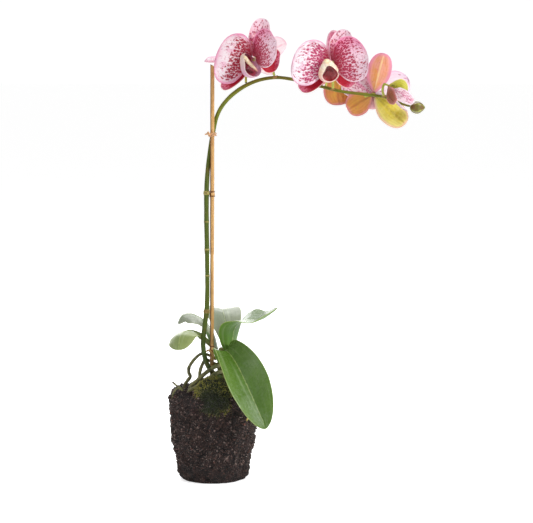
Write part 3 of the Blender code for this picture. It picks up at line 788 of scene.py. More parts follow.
BACK_ROSE = tepal_back("back_rose", tone(228, 140, 166), tone(230, 156, 180), tone(240, 196, 210),
                       tone(190, 70, 110), 0.8)
BACK_GREEN = tepal_back("back_green", tone(172, 168, 34), tone(206, 200, 78), tone(228, 220, 140),
                        tone(80, 78, 10), 0.0, tone(96, 90, 14), 2.0)
BACK_MAROON = tepal_back("back_maroon", tone(142, 84, 44), tone(158, 92, 70), tone(196, 120, 120),
                         tone(108, 50, 34))
LIP_INSIDE = Finish("lip_inside", tone(226, 168, 160), (
    Layer(Mask.ALONG, (0.80, 0.98), tone(190, 38, 56), 0.95),
    Layer(Mask.VEINS, (26.0, 0.34), tone(130, 10, 30), 0.75),
    Layer(Mask.ALONG, (0.1, 0.6), tone(116, 8, 24), 0.75),
    Layer(Mask.SIDE, (0.52, 0.34), tone(206, 86, 92), 0.55),
), PETAL_RELIEF, 0.3, 0.08, coat=0.4, subsurface=0.15)
LIP_WALL = Finish("lip_wall", tone(206, 158, 184), (
    Layer(Mask.CLOUDS, (130.0, 0.4, 0.7), tone(224, 190, 204), 0.6),
    Layer(Mask.ALONG, (0.50, 0.74), tone(158, 24, 56), 0.9),
    Layer(Mask.SIDE, (0.04, 0.24), tone(158, 24, 56), 0.75),
    Layer(Mask.ALONG, (0.2, 0.55), tone(104, 8, 26), 0.85),
), PETAL_RELIEF, 0.34, 0.08, coat=0.2, subsurface=0.15)
LIP_OUTSIDE = Finish("lip_outside", CREAM, (
    Layer(Mask.ACROSS, (0.1, 0.75), tone(228, 172, 184), 0.8),
    Layer(Mask.CLOUDS, (100.0, 0.4, 0.65), tone(236, 196, 160), 0.75),
    Layer(Mask.ALONG, (0.3, 0.75), tone(196, 132, 150), 0.6),
    Layer(Mask.VEINS, (10.0, 0.2), tone(214, 150, 150), 0.4),
    Layer(Mask.EDGE, (1.2, 0.2), tone(246, 222, 198), 0.9),
), PETAL_RELIEF, 0.38, 0.08, coat=0.15, subsurface=0.12)
LIP_MAUVE = Finish("lip_mauve", tone(208, 158, 184), (
    Layer(Mask.ACROSS, (1.0, 0.4), CREAM, 0.9),
    Layer(Mask.CLOUDS, (120.0, 0.4, 0.7), tone(222, 190, 196), 0.6),
    Layer(Mask.EDGE, (1.2, 0.2), tone(240, 214, 200), 0.9),
), PETAL_RELIEF, 0.38, 0.08, coat=0.15, subsurface=0.12)
COLUMN = Finish("column_cream", tone(244, 224, 186), (
    Layer(Mask.ALONG, (0.0, 0.5), tone(170, 60, 80), 0.7),
    Layer(Mask.CLOUDS, (320.0, 0.5, 0.7), tone(222, 176, 120), 0.5),
), (Relief(Mask.CLOUDS, (500.0, 0.3, 0.7), 0.1),), 0.35, 0.08, coat=0.2, subsurface=0.15)
LEAF_RELIEF = (
    Relief(Mask.VEINS, (34.0, 0.45), 0.07),
    Relief(Mask.STREAKS, (6.0, 60.0, 0.3, 0.7), 0.10),
    Relief(Mask.CLOUDS, (60.0, 0.3, 0.7), 0.5),
    Relief(Mask.CELLS, (1300.0, 0.1, 0.6), 0.02),
)


def leaf_face(name: str, ground: Colour, dark: Colour, bright: Colour, rim: Colour,
              rough: float = 0.34) -> Finish:
    """Finish of a leaf's upper or lower face.

    Args:
        name: its name.
        ground: main green.
        dark: green of the groove, of darker patches and of the painted shade on one half.
        bright: green of the fine veins and the flanks.
        rim: colour of the thin edge line.
        rough: roughness.

    Returns:
        The finish.
    """
    layers = (
        Layer(Mask.ACROSS, (1.0, 0.1), bright, 0.35),
        # Painted shade: one half of the blade's width is darkened.
        Layer(Mask.SIDE, (0.35, 0.55), dark, 0.35),
        Layer(Mask.CLOUDS, (34.0, 0.4, 0.7), dark, 0.25),
        Layer(Mask.VEINS, (34.0, 0.30), bright, 0.16),
        Layer(Mask.STREAKS, (3.0, 40.0, 0.45, 0.75), dark, 0.25),
        Layer(Mask.ALONG, (0.0, 0.3), bright, 0.5),
        # Painted highlight: pale streaks along the blade stand in for soft glints.
        Layer(Mask.STREAKS, (1.3, 9.0, 0.52, 0.8), tone(184, 200, 158), 0.4),
        Layer(Mask.ACROSS, (0.05, 0.10), dark, 0.35),
        Layer(Mask.ACROSS, (0.012, 0.045), rim, 0.6),
        Layer(Mask.EDGE, (0.9, 0.1), rim, 0.75),
    )
    return Finish(name, ground, layers, LEAF_RELIEF, rough, 0.06, coat=0.12, specular=0.35)


LEAF_TOP = leaf_face("leaf_top", tone(78, 112, 34), tone(48, 76, 20), tone(112, 142, 62),
                     tone(156, 174, 104), 0.27)
# Painted sheen: these upper faces are lightened to a pale grey-green that stands in for the sky's
# reflection at a grazing angle.
LEAF_GREY_SHEEN = leaf_face("leaf_grey_painted_sheen", tone(140, 150, 126), tone(78, 92, 64), tone(188, 194, 172),
                      tone(176, 188, 140), 0.34)
LEAF_UNDER = leaf_face("leaf_under", tone(84, 126, 40), tone(54, 92, 28), tone(118, 154, 62),
                       tone(160, 180, 104), 0.42)
LEAF_YOUNG = leaf_face("leaf_young", tone(136, 152, 88), tone(98, 116, 60), tone(172, 180, 124),
                       tone(176, 186, 122))
SPIKE_SKIN = Finish("spike_skin", tone(78, 92, 22), (
    Layer(Mask.HEIGHT, (0.50, 0.40), tone(112, 118, 26), 0.9),
    Layer(Mask.HEIGHT, (0.525, 0.500), tone(116, 104, 26), 0.7),
    Layer(Mask.HEIGHT, (0.15, 0.24), tone(50, 70, 30), 0.7),
    Layer(Mask.STREAKS, (60.0, 5.0, 0.45, 0.75), tone(46, 62, 20), 0.5),
    Layer(Mask.CLOUDS, (90.0, 0.5, 0.75), tone(120, 84, 34), 0.35),
    Layer(Mask.CELLS, (900.0, 0.22, 0.0), tone(168, 168, 100), 0.4),
), (Relief(Mask.STREAKS, (80.0, 9.0, 0.3, 0.7), 0.12),
    Relief(Mask.CELLS, (900.0, 0.3, 0.0), 0.05)), 0.45, 0.08,
    coat=0.03, specular=0.25)
PEDICEL = Finish("pedicel_lime", tone(176, 186, 58), (
    Layer(Mask.ALONG, (0.0, 0.35), tone(200, 204, 96), 0.6),
    Layer(Mask.ALONG, (1.0, 0.7), tone(206, 160, 120), 0.6),
    Layer(Mask.STREAKS, (12.0, 6.0, 0.4, 0.7), tone(126, 138, 40), 0.5),
), (Relief(Mask.STREAKS, (16.0, 8.0, 0.3, 0.7), 0.1),), 0.42, 0.08, coat=0.1)
BRACT = Finish("bract_dry", tone(176, 138, 74), (
    Layer(Mask.STREAKS, (10.0, 16.0, 0.4, 0.7), tone(120, 84, 44), 0.6),
    Layer(Mask.ALONG, (0.0, 0.4), tone(124, 130, 56), 0.6),
    Layer(Mask.EDGE, (0.6, 0.1), tone(104, 66, 34), 0.7),
), (Relief(Mask.STREAKS, (14.0, 20.0, 0.3, 0.7), 0.1),), 0.6, 0.1)
JOINT = Finish("joint_olive", tone(160, 150, 84), (
    Layer(Mask.CLOUDS, (260.0, 0.45, 0.6), tone(110, 84, 40), 0.8),
), (Relief(Mask.CLOUDS, (500.0, 0.3, 0.7), 0.2),), 0.55, 0.1, specular=0.3)
BUD_SKIN = Finish("bud_green", tone(108, 104, 34), (
    Layer(Mask.VEINS, (5.0, 0.15), tone(190, 196, 86), 0.85),
    Layer(Mask.CLOUDS, (140.0, 0.4, 0.65), tone(112, 66, 34), 0.7),
    Layer(Mask.ALONG, (1.0, 0.75), tone(150, 158, 70), 0.6),
), (Relief(Mask.CLOUDS, (400.0, 0.3, 0.7), 0.2), Relief(Mask.VEINS, (5.0, 0.2), -0.3)),
    0.4, 0.08, coat=0.15)
BAMBOO = Finish("bamboo_tan", tone(210, 166, 100), (
    Layer(Mask.STREAKS, (26.0, 10.0, 0.35, 0.7), tone(170, 112, 56), 0.7),
    Layer(Mask.STREAKS, (90.0, 20.0, 0.5, 0.75), tone(232, 192, 132), 0.5),
    Layer(Mask.CLOUDS, (60.0, 0.5, 0.7), tone(150, 92, 40), 0.4),
), (Relief(Mask.STREAKS, (40.0, 16.0, 0.3, 0.7), 0.16),), 0.45, 0.1, coat=0.1)
# Dark brown of the joint rings and the cut tip, and also painted shade on the cane's left side.
BAMBOO_BROWN_AND_SHADE = Finish("bamboo_brown_and_shade", tone(120, 74, 30), (
    Layer(Mask.STREAKS, (30.0, 12.0, 0.4, 0.7), tone(84, 48, 18), 0.7),
    Layer(Mask.CLOUDS, (50.0, 0.45, 0.7), tone(160, 106, 50), 0.5),
), (Relief(Mask.STREAKS, (40.0, 16.0, 0.3, 0.7), 0.16),), 0.5, 0.1)
RAFFIA = Finish("raffia_peach", tone(222, 172, 124), (
    Layer(Mask.STREAKS, (3.0, 14.0, 0.4, 0.7), tone(176, 120, 76), 0.7),
    Layer(Mask.CLOUDS, (600.0, 0.5, 0.7), tone(240, 206, 164), 0.5),
), (Relief(Mask.STREAKS, (3.0, 18.0, 0.3, 0.7), 0.2),), 0.75, 0.1, sheen=0.2)
ROOT_SKIN = Finish("root_khaki", tone(122, 120, 74), (
    Layer(Mask.CLOUDS, (120.0, 0.4, 0.65), tone(62, 62, 28), 0.8),
    Layer(Mask.STREAKS, (20.0, 8.0, 0.45, 0.7), tone(162, 158, 116), 0.6),
    Layer(Mask.ALONG, (1.0, 0.75), tone(70, 52, 34), 0.8),
    Layer(Mask.CELLS, (700.0, 0.3, 0.0), tone(60, 52, 26), 0.4),
), (Relief(Mask.CLOUDS, (500.0, 0.3, 0.7), 0.35),
    Relief(Mask.STREAKS, (30.0, 10.0, 0.3, 0.7), 0.2)), 0.6, 0.1)
CROWN_SKIN = Finish("crown_green", tone(110, 128, 50), (
    Layer(Mask.CLOUDS, (110.0, 0.4, 0.65), tone(120, 92, 48), 0.7),
    Layer(Mask.HEIGHT, (0.13, 0.15), tone(84, 66, 40), 0.8),
    Layer(Mask.STREAKS, (8.0, 12.0, 0.4, 0.7), tone(80, 92, 34), 0.6),
), (Relief(Mask.STREAKS, (10.0, 16.0, 0.3, 0.7), 0.4),), 0.5, 0.1)
SOIL = Finish("soil_dark", tone(44, 30, 28), (
    Layer(Mask.CLOUDS, (90.0, 0.4, 0.6), tone(16, 10, 11), 0.9),
    Layer(Mask.CELLS, (420.0, 0.16, 0.0), tone(98, 74, 66), 0.5),
    Layer(Mask.CLOUDS, (520.0, 0.56, 0.68), tone(104, 72, 62), 0.75),
    Layer(Mask.CELLS, (700.0, 0.20, 0.08), tone(190, 176, 164), 0.7),
), (Relief(Mask.CLOUDS, (520.0, 0.3, 0.7), 1.2), Relief(Mask.CELLS, (800.0, 0.6, 0.0), 0.6)),
    0.9, 0.06)
CRUMB = Finish("soil_crumb", tone(86, 66, 61), (
    Layer(Mask.CLOUDS, (120.0, 0.42, 0.52), tone(17, 11, 12), 0.95),
    Layer(Mask.CLOUDS, (520.0, 0.52, 0.60), tone(160, 138, 130), 0.65),
    Layer(Mask.CLOUDS, (110.0, 0.62, 0.68), tone(122, 62, 46), 0.6),
    Layer(Mask.CELLS, (480.0, 0.22, 0.10), tone(224, 214, 204), 0.8),
), (Relief(Mask.CLOUDS, (900.0, 0.3, 0.7), 0.6),), 0.9, 0.06)
FIBRE = Finish("root_fibre", tone(66, 50, 42), (
    Layer(Mask.CLOUDS, (160.0, 0.4, 0.6), tone(28, 19, 18), 0.85),
), (Relief(Mask.CLOUDS, (900.0, 0.3, 0.7), 0.2),), 0.8, 0.08)
MOSS = Finish("moss_dark", tone(40, 50, 16), (
    Layer(Mask.CLOUDS, (260.0, 0.4, 0.65), tone(22, 28, 10), 0.9),
    Layer(Mask.CELLS, (900.0, 0.2, 0.0), tone(96, 104, 34), 0.6),
), (Relief(Mask.CLOUDS, (600.0, 0.3, 0.7), 1.2),), 0.9, 0.06)
MOSS_TUFT = Finish("moss_tuft", tone(84, 88, 22), (
    Layer(Mask.ALONG, (0.9, 0.1), tone(190, 182, 74), 0.9),
    Layer(Mask.CLOUDS, (38.0, 0.47, 0.56), tone(22, 27, 8), 0.8),
    # Painted shade: tufts that point to the front or back, in the cushion's middle as seen from the
    # front, are darkened.
    Layer(Mask.SIDE, (0.04, 0.34), tone(14, 17, 6), 0.9),
    Layer(Mask.CLOUDS, (200.0, 0.6, 0.7), tone(150, 150, 60), 0.5),
), (), 0.8, 0.08, sheen=0.2)
ROOT_TIP = Finish("root_tip_yellow", tone(206, 190, 96), (
    Layer(Mask.CLOUDS, (400.0, 0.4, 0.7), tone(160, 138, 60), 0.6),
), (Relief(Mask.CLOUDS, (700.0, 0.3, 0.7), 0.1),), 0.5, 0.08)


# ---------------------------------------------------------------- root ball


def random_turns(rng: np.random.Generator, count: int) -> np.ndarray:
    """Rotation matrices of random unit quaternions (w, x, y, z)."""
    w, x, y, z = unit(rng.normal(size=(count, 4))).T
    rows = [1 - 2 * (y * y + z * z), 2 * (x * y - z * w), 2 * (x * z + y * w),
            2 * (x * y + z * w), 1 - 2 * (x * x + z * z), 2 * (y * z - x * w),
            2 * (x * z - y * w), 2 * (y * z + x * w), 1 - 2 * (x * x + y * y)]
    return np.stack(rows, axis=1).reshape(count, 3, 3)


def scattered(form: np.ndarray, faces: np.ndarray, form_uv: np.ndarray, places: np.ndarray,
              turns: np.ndarray, sizes: np.ndarray) -> Skin:
    """Copies of a small closed form: place + turn (size form).

    Args:
        form: corners of the form.
        faces: its faces.
        form_uv: u and v of its corners.
        places: where each copy stands.
        turns: a rotation for each.
        sizes: three scale factors for each.

    Returns:
        All copies as one skin.
    """
    corners = np.einsum("nij,nkj->nki", turns, form[None] * sizes[:, None]) + places[:, None]
    steps = (np.arange(len(places)) * len(form))[:, None, None]
    return Skin(corners.reshape(-1, 3), (faces[None] + steps).reshape(-1, faces.shape[1]).tolist(),
                np.tile(form_uv, (len(places), 1)))


def nugget() -> tuple[np.ndarray, np.ndarray, np.ndarray]:
    """Corners, faces and uv of a twenty-sided grain."""
    work = bmesh.new()
    bmesh.ops.create_icosphere(work, subdivisions=1, radius=1.0)
    mesh = bpy.data.meshes.new("nugget_form")
    work.to_mesh(mesh)
    work.free()
    corners = np.array([v.co for v in mesh.vertices])
    faces = np.array([p.vertices for p in mesh.polygons])
    bpy.data.meshes.remove(mesh)
    return corners, faces, np.full((len(corners), 2), 0.5)


@dataclass
class RootBall:
    """Tapered plug of dark bark and fibre with crumbs, chips and hair roots on its side."""

    foot_radius: float = 41.0
    top_radius: float = 57.0
    height: float = 117.0
    edge: float = 9.0
    mound: Point = (8.0, 0.0, 17.0)
    spread: float = 32.0
    crumbs: int = 5200
    hairs: int = 90
    seed: int = 11

    def surface(self, turn: np.ndarray, share: np.ndarray, rough: float = 1.0) -> np.ndarray:
        """Places on the ball: its outline turned about the axis, a mound and four sizes of lump.

        Args:
            turn: angle about the axis.
            share: share of the outline, from the top's middle to the foot's.
            rough: how strong the lumps are.

        Returns:
            Places in millimetres.
        """
        top, foot, edge, height = self.top_radius, self.foot_radius, self.edge, self.height
        outline = np.array([(0, height), (top - edge, height),
                            (top - 0.3 * edge, height - 0.3 * edge), (top, height - edge),
                            (top - 1.0, 0.6 * height), (foot + 4.5, edge), (foot + 2.0, 0.3 * edge),
                            (foot, 0), (0, 0)], float)
        along = np.concatenate([[0.0], np.cumsum(np.linalg.norm(np.diff(outline, axis=0), axis=1))])
        radius, level = (np.interp(share * along[-1], along, column) for column in outline.T)
        away = ((radius * np.cos(turn) - self.mound[0]) ** 2
                + (radius * np.sin(turn) - self.mound[1]) ** 2)
        up = (level > height - 1.0) * self.mound[2] * np.exp(-away / self.spread**2)
        place = np.stack([radius * np.cos(turn), radius * np.sin(turn), level + up], axis=-1)
        lump = 2.4 * lattice_noise(place, 13.0, 3) + 2.1 * lattice_noise(place, 6.0, 4)
        lump = rough * (lump + 1.4 * lattice_noise(place, 2.9, 5)
                        + 0.7 * lattice_noise(place, 1.5, 6))
        side = np.stack([np.cos(turn), np.sin(turn), np.zeros_like(turn)], axis=-1)
        off = np.minimum(1.0, radius / self.foot_radius) * np.where(level > 0.5, 1.0, 0.3)
        place = place + side * (lump * off)[..., None]
        place[..., 2] += np.where(level > height - 1.0, lump, 0.0)
        place[..., 2] = np.maximum(place[..., 2], 0.0)
        return place

    def core(self) -> Skin:
        """The plug itself, closed at both poles."""
        turn, share = np.meshgrid(np.linspace(0, TURN, 260, endpoint=False),
                                  np.linspace(0.004, 0.996, 210), indexing="xy")
        uv = np.stack([share, turn / TURN], axis=-1).reshape(-1, 2)
        return capped(self.surface(turn, share), np.vstack([uv, [(0, 0), (1, 0)]]))

    def grains(self) -> Skin:
        """Crumbs of bark pressed into the side and the top."""
        rng = np.random.default_rng(self.seed)
        turn = rng.uniform(0, TURN, self.crumbs)
        share = rng.uniform(0.08, 0.70, self.crumbs)
        size = (rng.uniform(0.5, 1.0, (self.crumbs, 3))
                * rng.gamma(2.0, 0.55, (self.crumbs, 1)).clip(0.35, 3.4))
        places = self.surface(turn, share)
        places[:, 2] = np.maximum(places[:, 2], 2.5)
        form, faces, uv = nugget()
        form = form * (1.0 + 0.28 * lattice_noise(form, 0.9, 8))[:, None]
        return scattered(form, faces, uv, places, random_turns(rng, self.crumbs), size)

    def fibres(self) -> Skin:
        """Hair roots that lie on the side: each a bent thread that wanders over the surface."""
        rng = np.random.default_rng(self.seed + 1)
        count, steps, around = self.hairs, 12, 5
        t = np.linspace(0.0, 1.0, steps)[None]
        turn = rng.uniform(0, TURN, (count, 1)) + rng.normal(0, 0.30, (count, 1)) * t
        turn = turn + rng.normal(0, 0.07, (count, 1)) * np.sin(t * rng.uniform(3, 9, (count, 1)))
        share = rng.uniform(0.30, 0.64, (count, 1)) + rng.normal(0, 0.06, (count, 1)) * t
        centre = self.surface(turn, np.clip(share, 0.27, 0.69), 0.8)
        radial = np.stack([np.cos(turn), np.sin(turn), np.zeros_like(turn)], axis=-1)
        loft = 0.7 + 1.7 * np.sin(t * math.pi) * rng.uniform(0, 1, (count, 1)) ** 2
        centre = centre + radial * loft[..., None]
        tangent = unit(np.gradient(centre, axis=1))
        first = unit(np.cross(tangent, radial))
        second = np.cross(tangent, first)
        angle = np.linspace(0, TURN, around, endpoint=False)
        girth = (rng.uniform(0.22, 0.62, (count, 1)) * (1.0 - 0.85 * t**3))[..., None, None]
        ring = (first[:, :, None] * np.cos(angle)[:, None]
                + second[:, :, None] * np.sin(angle)[:, None])
        corners = (centre[:, :, None] + ring * girth).reshape(-1, 3)
        starts = (np.arange(count) * steps * around)[:, None, None]
        quads = ring_faces(steps, around)[None] + starts
        ends = np.arange(around)
        caps = np.stack([ends[::-1], ends + (steps - 1) * around])[None] + starts
        uv = np.full((len(corners), 2), 0.5)
        skin = Skin(corners, quads.reshape(-1, 4).tolist(), uv).outward()
        flip = skin.faces[0] != quads.reshape(-1, 4).tolist()[0]
        skin.faces += [tuple(c[::-1]) if flip else tuple(c)
                       for c in caps.reshape(-1, around).tolist()]
        return skin

    def build(self) -> None:
        """Make the ball, its crumbs, its hair roots and the pale root tip at its right."""
        self.core().put("soil_core", [SOIL], "soil", ("root_ball",))
        self.grains().put("soil_crumbs", [CRUMB], "soil", ())
        self.fibres().put("hair_roots", [FIBRE], "soil", ())
        tip = smooth_through(((38, -33, 76, 1.0), (42, -35, 80, 1.3), (45, -34, 84, 1.5),
                              (49, -31, 86, 1.1), (51.5, -29, 85.5, 0.5)), np.linspace(0, 1, 16))
        tube(tip, 12).put("pale_root_tip", [ROOT_TIP], "root_skin", ())


@dataclass
class Moss:
    """Cushion of moss on the front rim, with short tufts."""

    centre: Point = (2.0, -37.5, 110.0)
    radii: Point = (25.5, 25.0, 28.0)
    tufts: int = 3800
    seed: int = 21

    def surface(self, way: np.ndarray) -> np.ndarray:
        """Places on the cushion: centre + radii way, moved out by noise."""
        place = np.array(self.centre) + way * np.array(self.radii)
        lump = 2.0 * lattice_noise(place, 10.0, 31) + 1.1 * lattice_noise(place, 4.0, 32)
        return place + way * lump[..., None]

    def cushion(self) -> Skin:
        """The lumpy body."""
        turn, lift = np.meshgrid(np.linspace(0, TURN, 90, endpoint=False),
                                 np.linspace(0.02, math.pi - 0.02, 60), indexing="xy")
        way = np.stack([np.sin(lift) * np.cos(turn), np.sin(lift) * np.sin(turn), np.cos(lift)],
                       axis=-1)
        return capped(self.surface(way), np.full((turn.size + 2, 2), 0.5))

    def strands(self) -> Skin:
        """Short bent spikes; v is 0 where they look to the front or back and 1 up or sideways, and
        sets where shade is painted.
        """
        rng = np.random.default_rng(self.seed)
        way = unit(rng.normal(size=(self.tufts, 3)))
        way = way[(way[:, 1] < 0.55) | (way[:, 2] > 0.5)]
        places = self.surface(way) - way * 0.3
        angle = np.linspace(0, TURN, 3, endpoint=False)
        ring = np.stack([np.cos(angle), np.sin(angle), np.zeros(3)], axis=1)
        form = np.vstack([ring * 0.30, ring * 0.24 + (0.25, 0, 0.9), ring * 0.12 + (0.75, 0, 1.7),
                          [(1.2, 0, 2.2)]])
        faces = [(0, 1, 4), (0, 4, 3), (1, 2, 5), (1, 5, 4), (2, 0, 3), (2, 3, 5), (3, 4, 7),
                 (3, 7, 6), (4, 5, 8), (4, 8, 7), (5, 3, 6), (5, 6, 8), (6, 7, 9), (7, 8, 9),
                 (8, 6, 9), (2, 1, 0)]
        uv = np.stack([form[:, 2] / 2.2, np.full(10, 0.5)], axis=1)
        up = unit(way + rng.normal(0, 0.45, way.shape))
        first = unit(np.cross(up, rng.normal(size=up.shape)))
        turns = np.stack([first, np.cross(up, first), up], axis=2)
        sizes = rng.uniform(0.7, 1.9, (len(way), 1)) * np.ones(3)
        skin = scattered(form, np.array(faces), uv, places, turns, sizes)
        skin.uv[:, 1] = np.repeat(1.0 - np.abs(way[:, 1]), len(form))
        return skin

    def build(self) -> None:
        """Make the cushion and its tufts."""
        self.cushion().put("moss_body", [MOSS], "moss", ("moss_cushion",))
        self.strands().put("moss_tufts", [MOSS_TUFT], "moss", ())


ROOT_PATHS: dict[str, Rows] = {
    "root_front_upper": ((11, -6, 149, 2.6), (3, -16.8, 149.5, 2.7), (-8, -20.5, 142.5, 2.7),
                         (-19, -21.5, 133, 2.5), (-28, -21.5, 124.5, 2.3), (-33, -21, 113, 2.1)),
    "root_front_lower": ((12.5, -6.5, 140.5, 2.5), (6, -20, 142, 2.7), (-6, -27.5, 135, 2.7),
                         (-18, -30, 126.5, 2.5), (-28.5, -31, 121, 2.2), (-36, -30, 111, 2)),
    "root_arched_left": ((12, 4.5, 154, 1.9), (0, 7.6, 158.3, 2.1), (-14, 6.5, 163, 2.1),
                         (-24, 6, 156, 2.1), (-31, 5.5, 146, 2.2), (-32, 5, 138.5, 2.2),
                         (-30, 4.5, 132.5, 2.3), (-36, 3.5, 124, 2.2), (-41, 3, 110, 2)),
    "root_arched_inner": ((12, 3, 146, 1.8), (0.5, 5, 151, 2), (-9.5, 2, 155.5, 2.1),
                          (-14.5, -0.5, 148, 2.1), (-17, -3, 140, 2.1), (-18, -5, 128, 2),
                          (-19, -6, 112, 1.9)),
    "rootlet_rim": ((-37, -16, 110, 1.3), (-41, -16.5, 121, 1.4), (-46.5, -15, 124, 1.4),
                    (-52.5, -12, 128.5, 1.3)),
}


@dataclass
class Roots:
    """Thick green-grey roots from the crown into the ball."""

    bumps: float = 0.35

    def build(self) -> None:
        """Make each root as a lumpy tube on its path."""
        for number, (name, path) in enumerate(ROOT_PATHS.items()):
            rows = smooth_through(path, np.linspace(0, 1, 90))
            rows[:, 3] += self.bumps * lattice_noise(rows[:, :3], 4.0, 40 + number)
            tube(rows, 18).put(name + "_skin", [ROOT_SKIN], "root_skin", (name,))
        loop = smooth_through(((-35, -24, 112, 1.2), (-40, -26, 121, 1.3), (-46, -24, 122, 1.3),
                               (-51, -21, 115, 1.2), (-53, -19, 106, 1.0)), np.linspace(0, 1, 40))
        tube(loop, 12).put("rim_root_loop", [ROOT_SKIN], "root_skin", ())


@dataclass
class Crown:
    """Short stem wrapped in the feet of old leaves."""

    path: Rows = ((15, 4, 98, 6.5), (14, 2, 120, 7.5), (13, 0.5, 142, 7.5), (12.5, 0, 160, 6.5),
                  (12.5, 0, 172, 4.5))

    def build(self) -> None:
        """Make the stem, the dry sheath at its left and the thin shoot behind the front leaf."""
        rows = smooth_through(self.path, np.linspace(0, 1, 70))
        rows[:, 3] += (0.5 * np.sin(rows[:, 2] * 0.55) ** 8
                       + 0.3 * lattice_noise(rows[:, :3], 5.0, 50))
        tube(rows, 28).put("crown_bark", [CROWN_SKIN], "crown", ("crown_stem",))
        curl = Blade(((4, -8, 157), (0, -10, 166), (-5, -11, 171), (-9, -11, 169)), 5.0,
                     ((0.2, -1, 0.2), (0.3, -1, 0)), 0.6, 0.4, 1.0, 1.8, (1.2, 0.8), wall=0.5,
                     frill=0.6, along=20, across=14)
        curl.skin().put("dry_sheath", [BRACT], "crown", ())
        shoot = ((15, -2, 158, 1.2), (28, -12, 160, 1.2), (40, -22, 165, 1.1), (46, -27, 170, 0.9),
                 (48, -28, 174, 0.5))
        skin = tube(smooth_through(shoot, np.linspace(0, 1, 24)), 12)
        skin.put("thin_shoot", [PEDICEL], "crown", ())


# ---------------------------------------------------------------- leaves, cane and spike


@dataclass(frozen=True)
class LeafShape:
    """Where a leaf runs and how wide it is."""

    spine: Rows
    sides: Rows
    half_width: float
    span: tuple[float, float]
    upper: Finish
    early: float = 1.0
    peak: float = 0.56
    fold: float = 0.12
    upper_first: bool = True


LEAVES: dict[str, LeafShape] = {
    "leaf_front": LeafShape(
        ((13, -11.5, 154), (14.5, -18, 168), (21, -31, 170), (34, -48, 153), (49.5, -62, 122),
         (62.5, -71, 94), (69, -75, 79)),
        ((-0.88, -0.38, -0.30),) * 2, 28.0, (1.0, 0.25), LEAF_TOP, fold=0.36, upper_first=False),
    "leaf_right": LeafShape(
        ((26.5, -4, 160), (25, -5, 182), (29, -9, 201), (43, -17, 210.5), (63, -25, 213),
         (84, -33, 228)),
        ((-0.80, -0.60, 0), (-0.42, -0.83, -0.36)), 25.0, (1.2, 0.2), LEAF_TOP, upper_first=False),
    "leaf_left": LeafShape(
        ((5, 22, 166), (-1, 25, 188), (-13, 27, 204), (-27, 28.5, 211.5), (-40, 28, 210),
         (-47, 27, 200)),
        ((0.3, -0.93, -0.1), (0.2, -0.93, -0.22)), 23.0, (1.0, 0.3), LEAF_GREY_SHEEN),
    "leaf_back": LeafShape(
        ((18.5, 12.5, 164), (18, 22, 187), (14.5, 38, 206), (11.5, 56, 214), (10.5, 73, 214),
         (10, 87, 208)),
        ((1.0, 0.1, 0), (1.0, 0, -0.06)), 23.0, (1.1, 0.2), LEAF_GREY_SHEEN, early=1.25,
        upper_first=False),
    "leaf_left_low": LeafShape(
        ((5.5, 11, 163), (-4, 13, 176), (-16, 11.5, 188), (-30.5, 2.5, 194), (-40.5, -13, 190),
         (-44, -29, 173)),
        ((0.1, -1, 0), (0.2, -0.97, 0), (0.97, -0.25, 0)), 21.5, (1.0, 0.3), LEAF_YOUNG, early=1.5,
        peak=0.72),
}


@dataclass
class Foliage:
    """Five strap leaves."""

    wall: float = 1.7

    def build(self) -> None:
        """Make each leaf with its upper and lower face."""
        for number, (name, leaf) in enumerate(LEAVES.items()):
            blade = Blade(leaf.spine, leaf.half_width, leaf.sides, 0.24, leaf.peak, leaf.early,
                          1.75, leaf.span, wall=self.wall, rim=0.35, groove=0.9, frill=0.7,
                          fold=leaf.fold, waves=2.5, seed=60 + number, along=64, across=45)
            pair = [leaf.upper, LEAF_UNDER]
            finishes = pair if leaf.upper_first else pair[::-1]
            blade.skin().put(name + "_blade", finishes, "leaf", (name,))


@dataclass
class Cane:
    """Bamboo cane with two joints and a slanted tip."""

    foot: Point = (-1.9, -1.0, 45.0)
    tip: Point = (0.5, -1.0, 540.0)
    radius: float = 2.65
    joints: tuple[float, ...] = (171.0, 373.0)

    def build(self) -> None:
        """Make the cane, whose left side is painted darker brown as shade, and the brown rings at
        its joints.
        """
        share = np.linspace(0, 1, 420)[:, None]
        rows = np.array(self.foot) + (np.array(self.tip) - np.array(self.foot)) * share
        girth = np.full((420, 1), self.radius)
        for joint in self.joints:
            off = rows[:, 2:] - joint
            girth += 0.9 * np.exp(-((off / 3.4) ** 2)) - 0.35 * np.exp(-(((off - 2.2) / 0.9) ** 2))
        girth += 0.08 * lattice_noise(rows, 14.0, 70)[:, None]
        skin = tube(np.hstack([rows, girth]), 32)
        high = skin.corners[:, 2] > self.tip[2] - 4.0
        across = (skin.corners[high, 0] - self.tip[0] + self.radius) * 0.5
        skin.corners[high, 2] -= across * np.clip(
            (skin.corners[high, 2] - self.tip[2] + 4.0) / 4.0, 0, 1)
        centre = np.array([skin.corners[list(face)].mean(axis=0) for face in skin.faces])
        axis_x = np.interp(centre[:, 2], (self.foot[2], self.tip[2]), (self.foot[0], self.tip[0]))
        # Painted shade: faces left of half the radius take the dark brown finish; the cut tip is
        # brown.
        skin.backs = ((centre[:, 0] - axis_x) < -0.5 * self.radius).astype(int)
        skin.backs[centre[:, 2] > self.tip[2] - 1.5] = 1
        skin.put("cane_rind", [BAMBOO, BAMBOO_BROWN_AND_SHADE], "bamboo", ("bamboo_cane",))
        rings = []
        for joint in self.joints:
            x = float(np.interp(joint, (self.foot[2], self.tip[2]), (self.foot[0], self.tip[0])))
            for low in (joint - 3.4, joint + 2.4):
                ring = tuple((x, -1.0, low + up, radius) for up, radius in
                             ((0.0, 3.2), (0.3, 3.8), (1.1, 3.8), (1.5, 3.1)))
                rings.append(tube(smooth_through(ring, np.linspace(0, 1, 10)), 24))
        joined(rings).put("cane_joint_rings", [BAMBOO_BROWN_AND_SHADE], "bamboo", ())


